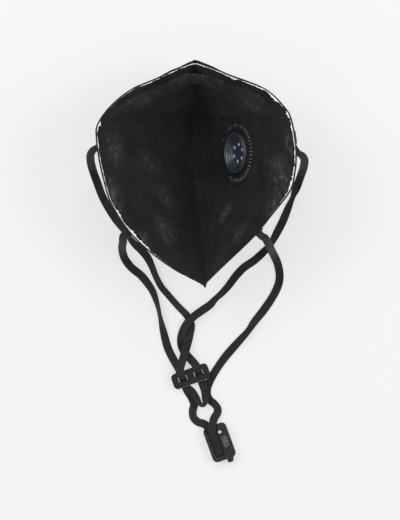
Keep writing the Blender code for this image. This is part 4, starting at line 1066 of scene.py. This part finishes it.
def make_seat(placement, finish):
    """The stepped disc on the inside, with rounded rings, six small holes and its barrel."""
    base = WALL + GAP
    top = base + SEAT_RISE
    floor = top - SEAT_RECESS
    plate = floor - SEAT_WALL
    inner = SEAT_BARREL_RADIUS - SEAT_WALL
    rise = SEAT_RECESS / SEAT_STEPS
    profile = [(0.0, floor)]
    for step in range(SEAT_STEPS):
        radius, low = SEAT_FLOOR_RADIUS + step * SEAT_STEP, floor + step * rise
        for turn in np.linspace(0.0, math.pi / 2, 5):
            profile.append((radius - RING_FOOT * math.cos(turn), low + RING_FOOT * (1 - math.cos(turn))))
        for turn in np.linspace(math.pi, 0.0, 7):
            across = radius + RING_OUT + RING_HALF * math.cos(turn)
            profile.append((across, low + rise + RING_LIFT + RING_RISE * math.sin(turn)))
    for turn in np.linspace(math.pi / 2, 0.0, 5):
        across = SEAT_RADIUS - SEAT_EDGE + SEAT_EDGE * math.cos(turn)
        profile.append((across, top - SEAT_EDGE + SEAT_EDGE * math.sin(turn)))
    profile += [
        (SEAT_RADIUS, base), (SEAT_BARREL_RADIUS, base),
        (SEAT_BARREL_RADIUS, -SEAT_BARREL_REACH), (inner, -SEAT_BARREL_REACH), (inner, plate),
        (FLAP_PIN_RADIUS, plate), (FLAP_PIN_RADIUS, plate - FLAP_PIN_REACH), (0.0, plate - FLAP_PIN_REACH),
    ]
    seat = lathe("valve_disc", profile, placement)
    bore = (SEAT_HOLE_RADIUS, 3 * SEAT_WALL)
    middle = floor - SEAT_WALL / 2
    drilled(seat, [(bore, seat_hole(placement, index, middle)) for index in range(SEAT_HOLES)])
    return dress(seat, finish, ("valve_seat",))


# Painted glints: the membrane's blue and violet, made bright as light through the six holes, one for each
# bulge
GLINTS = (
    (0.16, 0.52, 0.78), (0.42, 0.40, 0.82), (0.44, 0.40, 0.80),
    (0.17, 0.52, 0.70), (0.46, 0.38, 0.70), (0.22, 0.38, 0.88),
)
BULGE_RISE = 0.0005
BULGE_FOOT = 0.0002
BULGE_SUNK = 0.0004


def make_glints(placement):
    """The membrane's bulges that show in the six holes, painted bright and made to glow faintly as glints of
    the light that comes through them.
    """
    floor = WALL + GAP + SEAT_RISE - SEAT_RECESS
    radius = SEAT_HOLE_RADIUS * 0.92
    turns = np.linspace(0.0, math.pi / 2, 8)
    profile = [(radius * math.sin(turn), BULGE_RISE * math.cos(turn)) for turn in turns]
    profile += [(radius, -BULGE_FOOT), (0.0, -BULGE_FOOT)]
    for index in range(SEAT_HOLES):
        place = seat_hole(placement, index, floor - BULGE_SUNK)
        bulge = lathe(f"membrane_bulge_{index}", profile, place, steps=24)
        dress(bulge, glint_material(f"membrane_glint_{index}", GLINTS[index]), ())


COVER_ROUND = 0.0016
COVER_INNER_SLANT = 0.0008


def make_cover(placement, finish):
    bore = SEAT_BARREL_RADIUS + GAP
    base = -GAP
    top = base - COVER_RISE
    inner = COVER_RADIUS - COVER_WALL
    roof = top + COVER_WALL
    profile = [
        (0.0, roof), (inner - COVER_INNER_SLANT, roof), (inner, roof + COVER_INNER_SLANT),
        (inner, base - COVER_WALL), (bore, base - COVER_WALL), (bore, base), (COVER_RADIUS, base),
    ]
    for turn in np.linspace(0.0, math.pi / 2, 7):
        across = COVER_RADIUS - COVER_ROUND + COVER_ROUND * math.cos(turn)
        profile.append((across, top + COVER_ROUND - COVER_ROUND * math.sin(turn)))
    profile.append((0.0, top))
    cover = lathe("valve_cap", profile, placement)
    vent_height = base - COVER_WALL - COVER_INNER_SLANT - COVER_VENT_HEIGHT / 2
    vents = []
    for index in range(COVER_VENTS):
        turn = 2 * math.pi * (index + 0.5) / COVER_VENTS
        place = placement @ Matrix.Rotation(turn, 4, "Z")
        place = place @ Matrix.Translation((COVER_RADIUS - COVER_WALL / 2, 0.0, vent_height))
        vents.append(((4 * COVER_WALL, COVER_VENT_WIDTH, COVER_VENT_HEIGHT), place))
    drilled(cover, vents)
    return dress(cover, finish, ("valve_cover",))


TOOTH_STEPS = 8


def make_weld(placement, finish, crest):
    """The crimped ring: rounded radial ridges between two smooth bands, with painted highlights on some
    ridges' crests.
    """
    base = WALL + GAP * 0.5
    steps = WELD_TEETH * TOOTH_STEPS
    band = WELD_RADIUS - WELD_TOOTH_LENGTH
    radii = (WELD_INNER_RADIUS, WELD_INNER_RADIUS + 0.0005, band - 0.0003, band, band + 0.0005,
             WELD_RADIUS - 0.0005, WELD_RADIUS - 0.0001, WELD_RADIUS)
    rises = (0.0, 0.0, 0.0, 0.0, 1.0, 1.0, 0.6, 0.0)
    flats = (0.2, 0.8, 1.0, 0.9, 0.8, 0.8, 0.6, 0.0)
    points = []
    for step in range(steps):
        turn = 2 * math.pi * step / steps
        tooth = max(0.0, math.cos(step / TOOTH_STEPS * 2 * math.pi)) ** 0.7
        for radius, rise, flat in zip(radii, rises, flats):
            height = base + WELD_THICKNESS * flat + WELD_TOOTH_RISE * rise * tooth
            points.append(placement @ Vector((radius * math.cos(turn), radius * math.sin(turn), height)))
        for radius in (WELD_RADIUS, WELD_INNER_RADIUS):
            points.append(placement @ Vector((radius * math.cos(turn), radius * math.sin(turn), base)))
    ring = len(radii) + 2
    weld = faces_out(mesh_object("weld_ring", points, turned_faces(steps, ring, True)))
    dress(weld, finish, ("valve_weld",))
    weld.data.materials.append(crest)
    for index, face in enumerate(weld.data.polygons):
        step, part = divmod(index, ring)
        turn = 2 * math.pi * step / steps
        # Painted highlights: the bright finish goes on more crests where the light falls, at top, right and
        # bottom
        lit = 0.20 + 0.5 * math.sin(turn + 0.2)
        chance = noise.noise(Vector(((step + 1) // TOOTH_STEPS * 1.71, 0.3, 0.9)))
        if part in (4, 5) and step % TOOTH_STEPS in (TOOTH_STEPS - 1, 0) and chance < lit:
            face.material_index = 1
    return weld


# Stage: floor, lights and camera

CAMERA_HEIGHT = 2.0
CAMERA_AT = (0.0028, -0.0620)
CAMERA_WIDE = math.radians(8.47)
FLOOR_CORNERS = ((-1.6, -1.7), (1.6, -1.7), (1.6, 1.6), (-1.6, 1.6))
FLOOR_DROP = 0.0004
FLOOR_GLOW = 0.60
WORLD_LIGHT = 0.62
LAMP_AIM = (0.0, -0.02, 0.03)
# Name, place, size and power
LAMPS = (
    ("left_soft", (-0.9, 0.5, 1.3), 0.9, 9.0),
    ("right_soft", (1.0, 0.1, 1.2), 0.9, 8.0),
    ("top_soft", (0.0, 1.2, 0.9), 0.8, 4.0),
)


def make_stage():
    points = [(x, y, -FLOOR_DROP) for x, y in FLOOR_CORNERS]
    floor = mesh_object("floor", points, [(0, 1, 2, 3)])
    made = Nodes("pale_floor")
    where = made.place()
    grain = made.noise(where, 300.0, 3.0, 0.5)
    made.tint(grain, (0.3, (0.27, 0.27, 0.27)), (0.7, (0.28, 0.28, 0.28)))
    made.set(Roughness=0.95, Specular_IOR_Level=0.0, Emission_Strength=FLOOR_GLOW)
    floor.data.materials.append(made.material)
    world = bpy.data.worlds.new("studio")
    bpy.context.scene.world = world
    world.use_nodes = True
    light = world.node_tree.nodes["Background"].inputs
    light["Color"].default_value = (1.0, 1.0, 1.0, 1.0)
    light["Strength"].default_value = WORLD_LIGHT
    for name, place, size, power in LAMPS:
        data = bpy.data.lights.new(name, "AREA")
        data.shape = "DISK"
        data.size = size
        data.energy = power
        lamp = bpy.data.objects.new(name, data)
        lamp.location = place
        aim = Vector(LAMP_AIM) - Vector(place)
        lamp.rotation_euler = aim.to_track_quat("-Z", "Y").to_euler()
        bpy.context.scene.collection.objects.link(lamp)
    data = bpy.data.cameras.new("camera")
    data.sensor_fit = "HORIZONTAL"
    data.angle = CAMERA_WIDE
    data.clip_end = 20.0
    camera = bpy.data.objects.new("camera", data)
    camera.location = (*CAMERA_AT, CAMERA_HEIGHT)
    bpy.context.scene.collection.objects.link(camera)
    bpy.context.scene.camera = camera
    bpy.context.scene.view_settings.view_transform = "Standard"


# Side, station, share of the panel and turn of each tab
TABS = {
    "upper_left": ("left", 5.78, 0.945, 0.0),
    "upper_right": ("right", 5.75, 0.945, 0.0),
    "lower_left": ("left", 9.85, 0.885, math.radians(60.0)),
    "lower_right": ("right", 10.5, 0.88, math.radians(54.0)),
}


def build():
    make_stage()
    cloth = cloth_material("black_cloth", 0.0018, 0.0115, sheen=0.07, painted_sheen=PAINTED_SHEEN)
    ring_cloth = cloth_material("welded_cloth", 0.004, 0.012, sheen=0.05, rough=0.6)
    # Painted highlights on the weld ring's tooth crests
    crest_highlights = plastic_material("painted_crest_highlights", 0.07, 0.24, 0.30)
    foam = foam_material()
    ply = ply_material()
    elastic = elastic_material()
    disc = plastic_material("valve_plastic", 0.021, 0.034, 0.20, (0.003, 0.007, 0.016), shine=0.9)
    cap = plastic_material("cap_plastic", 0.012, 0.018, 0.35)
    plate = plate_material("slider_plastic")
    block = plastic_material("clip_plastic", 0.012, 0.020, 0.42, (0.001, 0.0, 0.002), shine=0.32)
    shiny = painted_highlight_material("latch_plastic")

    cup = make_cup(cloth)
    tree = tree_of(cup)
    make_pad(tree, foam)
    make_ply(tree, ply)
    valve = frame_matrix(VALVE_CENTRE, VALVE_DOWN, VALVE_NORMAL)
    make_weld(valve, ring_cloth, crest_highlights)
    make_seat(valve, disc)
    make_glints(valve)
    make_cover(valve, cap)

    tabs = {name: tab_placement(*row) for name, row in TABS.items()}
    starts = {name: strap_start(tab, LEAVING[name]) for name, tab in tabs.items()}
    routes = {
        "strap_upper": (
            *starts["upper_left"], *UPPER_LEFT_DROP, *UPPER_LEFT_RUN, *slot_pass(-1, UPPER_DOWN_SLOT),
            *TONGUE, *backward(slot_pass(1, UPPER_UP_SLOT)), *backward(UPPER_RIGHT_RUN),
            *backward(UPPER_RIGHT_DROP), *backward(starts["upper_right"]),
        ),
        "strap_lower_left": (
            *starts["lower_left"], *LOWER_LEFT_DROP, *LOWER_LEFT_RUN,
            *slot_pass(-1, LOWER_DOWN_SLOT), *LEFT_BRANCH, *channel_points(0, LEFT_INTO_CLIP),
        ),
        "strap_lower_right": (
            *starts["lower_right"], *LOWER_RIGHT_DROP, *LOWER_RIGHT_RUN, *channel_points(1, RIGHT_INTO_CLIP),
        ),
    }
    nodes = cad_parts
    for name, rows in routes.items():
        band, line, path, length = make_band(name.replace("strap", "band"), rows, elastic, name)
        print(f"{name}: {length:.3f} m")
    carried = {
        "strap_slider": plate, "neck_clip": block, "clip_latch": shiny,
        "chin_tail": cloth, "valve_flap": disc,
        "anchor_upper_left": tab_material(), "anchor_upper_right": tab_material(),
        "anchor_lower_left": tab_material(), "anchor_lower_right": tab_material(),
    }
    for name, finish in carried.items():
        nodes[name].data.materials.clear()
        nodes[name].data.materials.append(finish)


build()
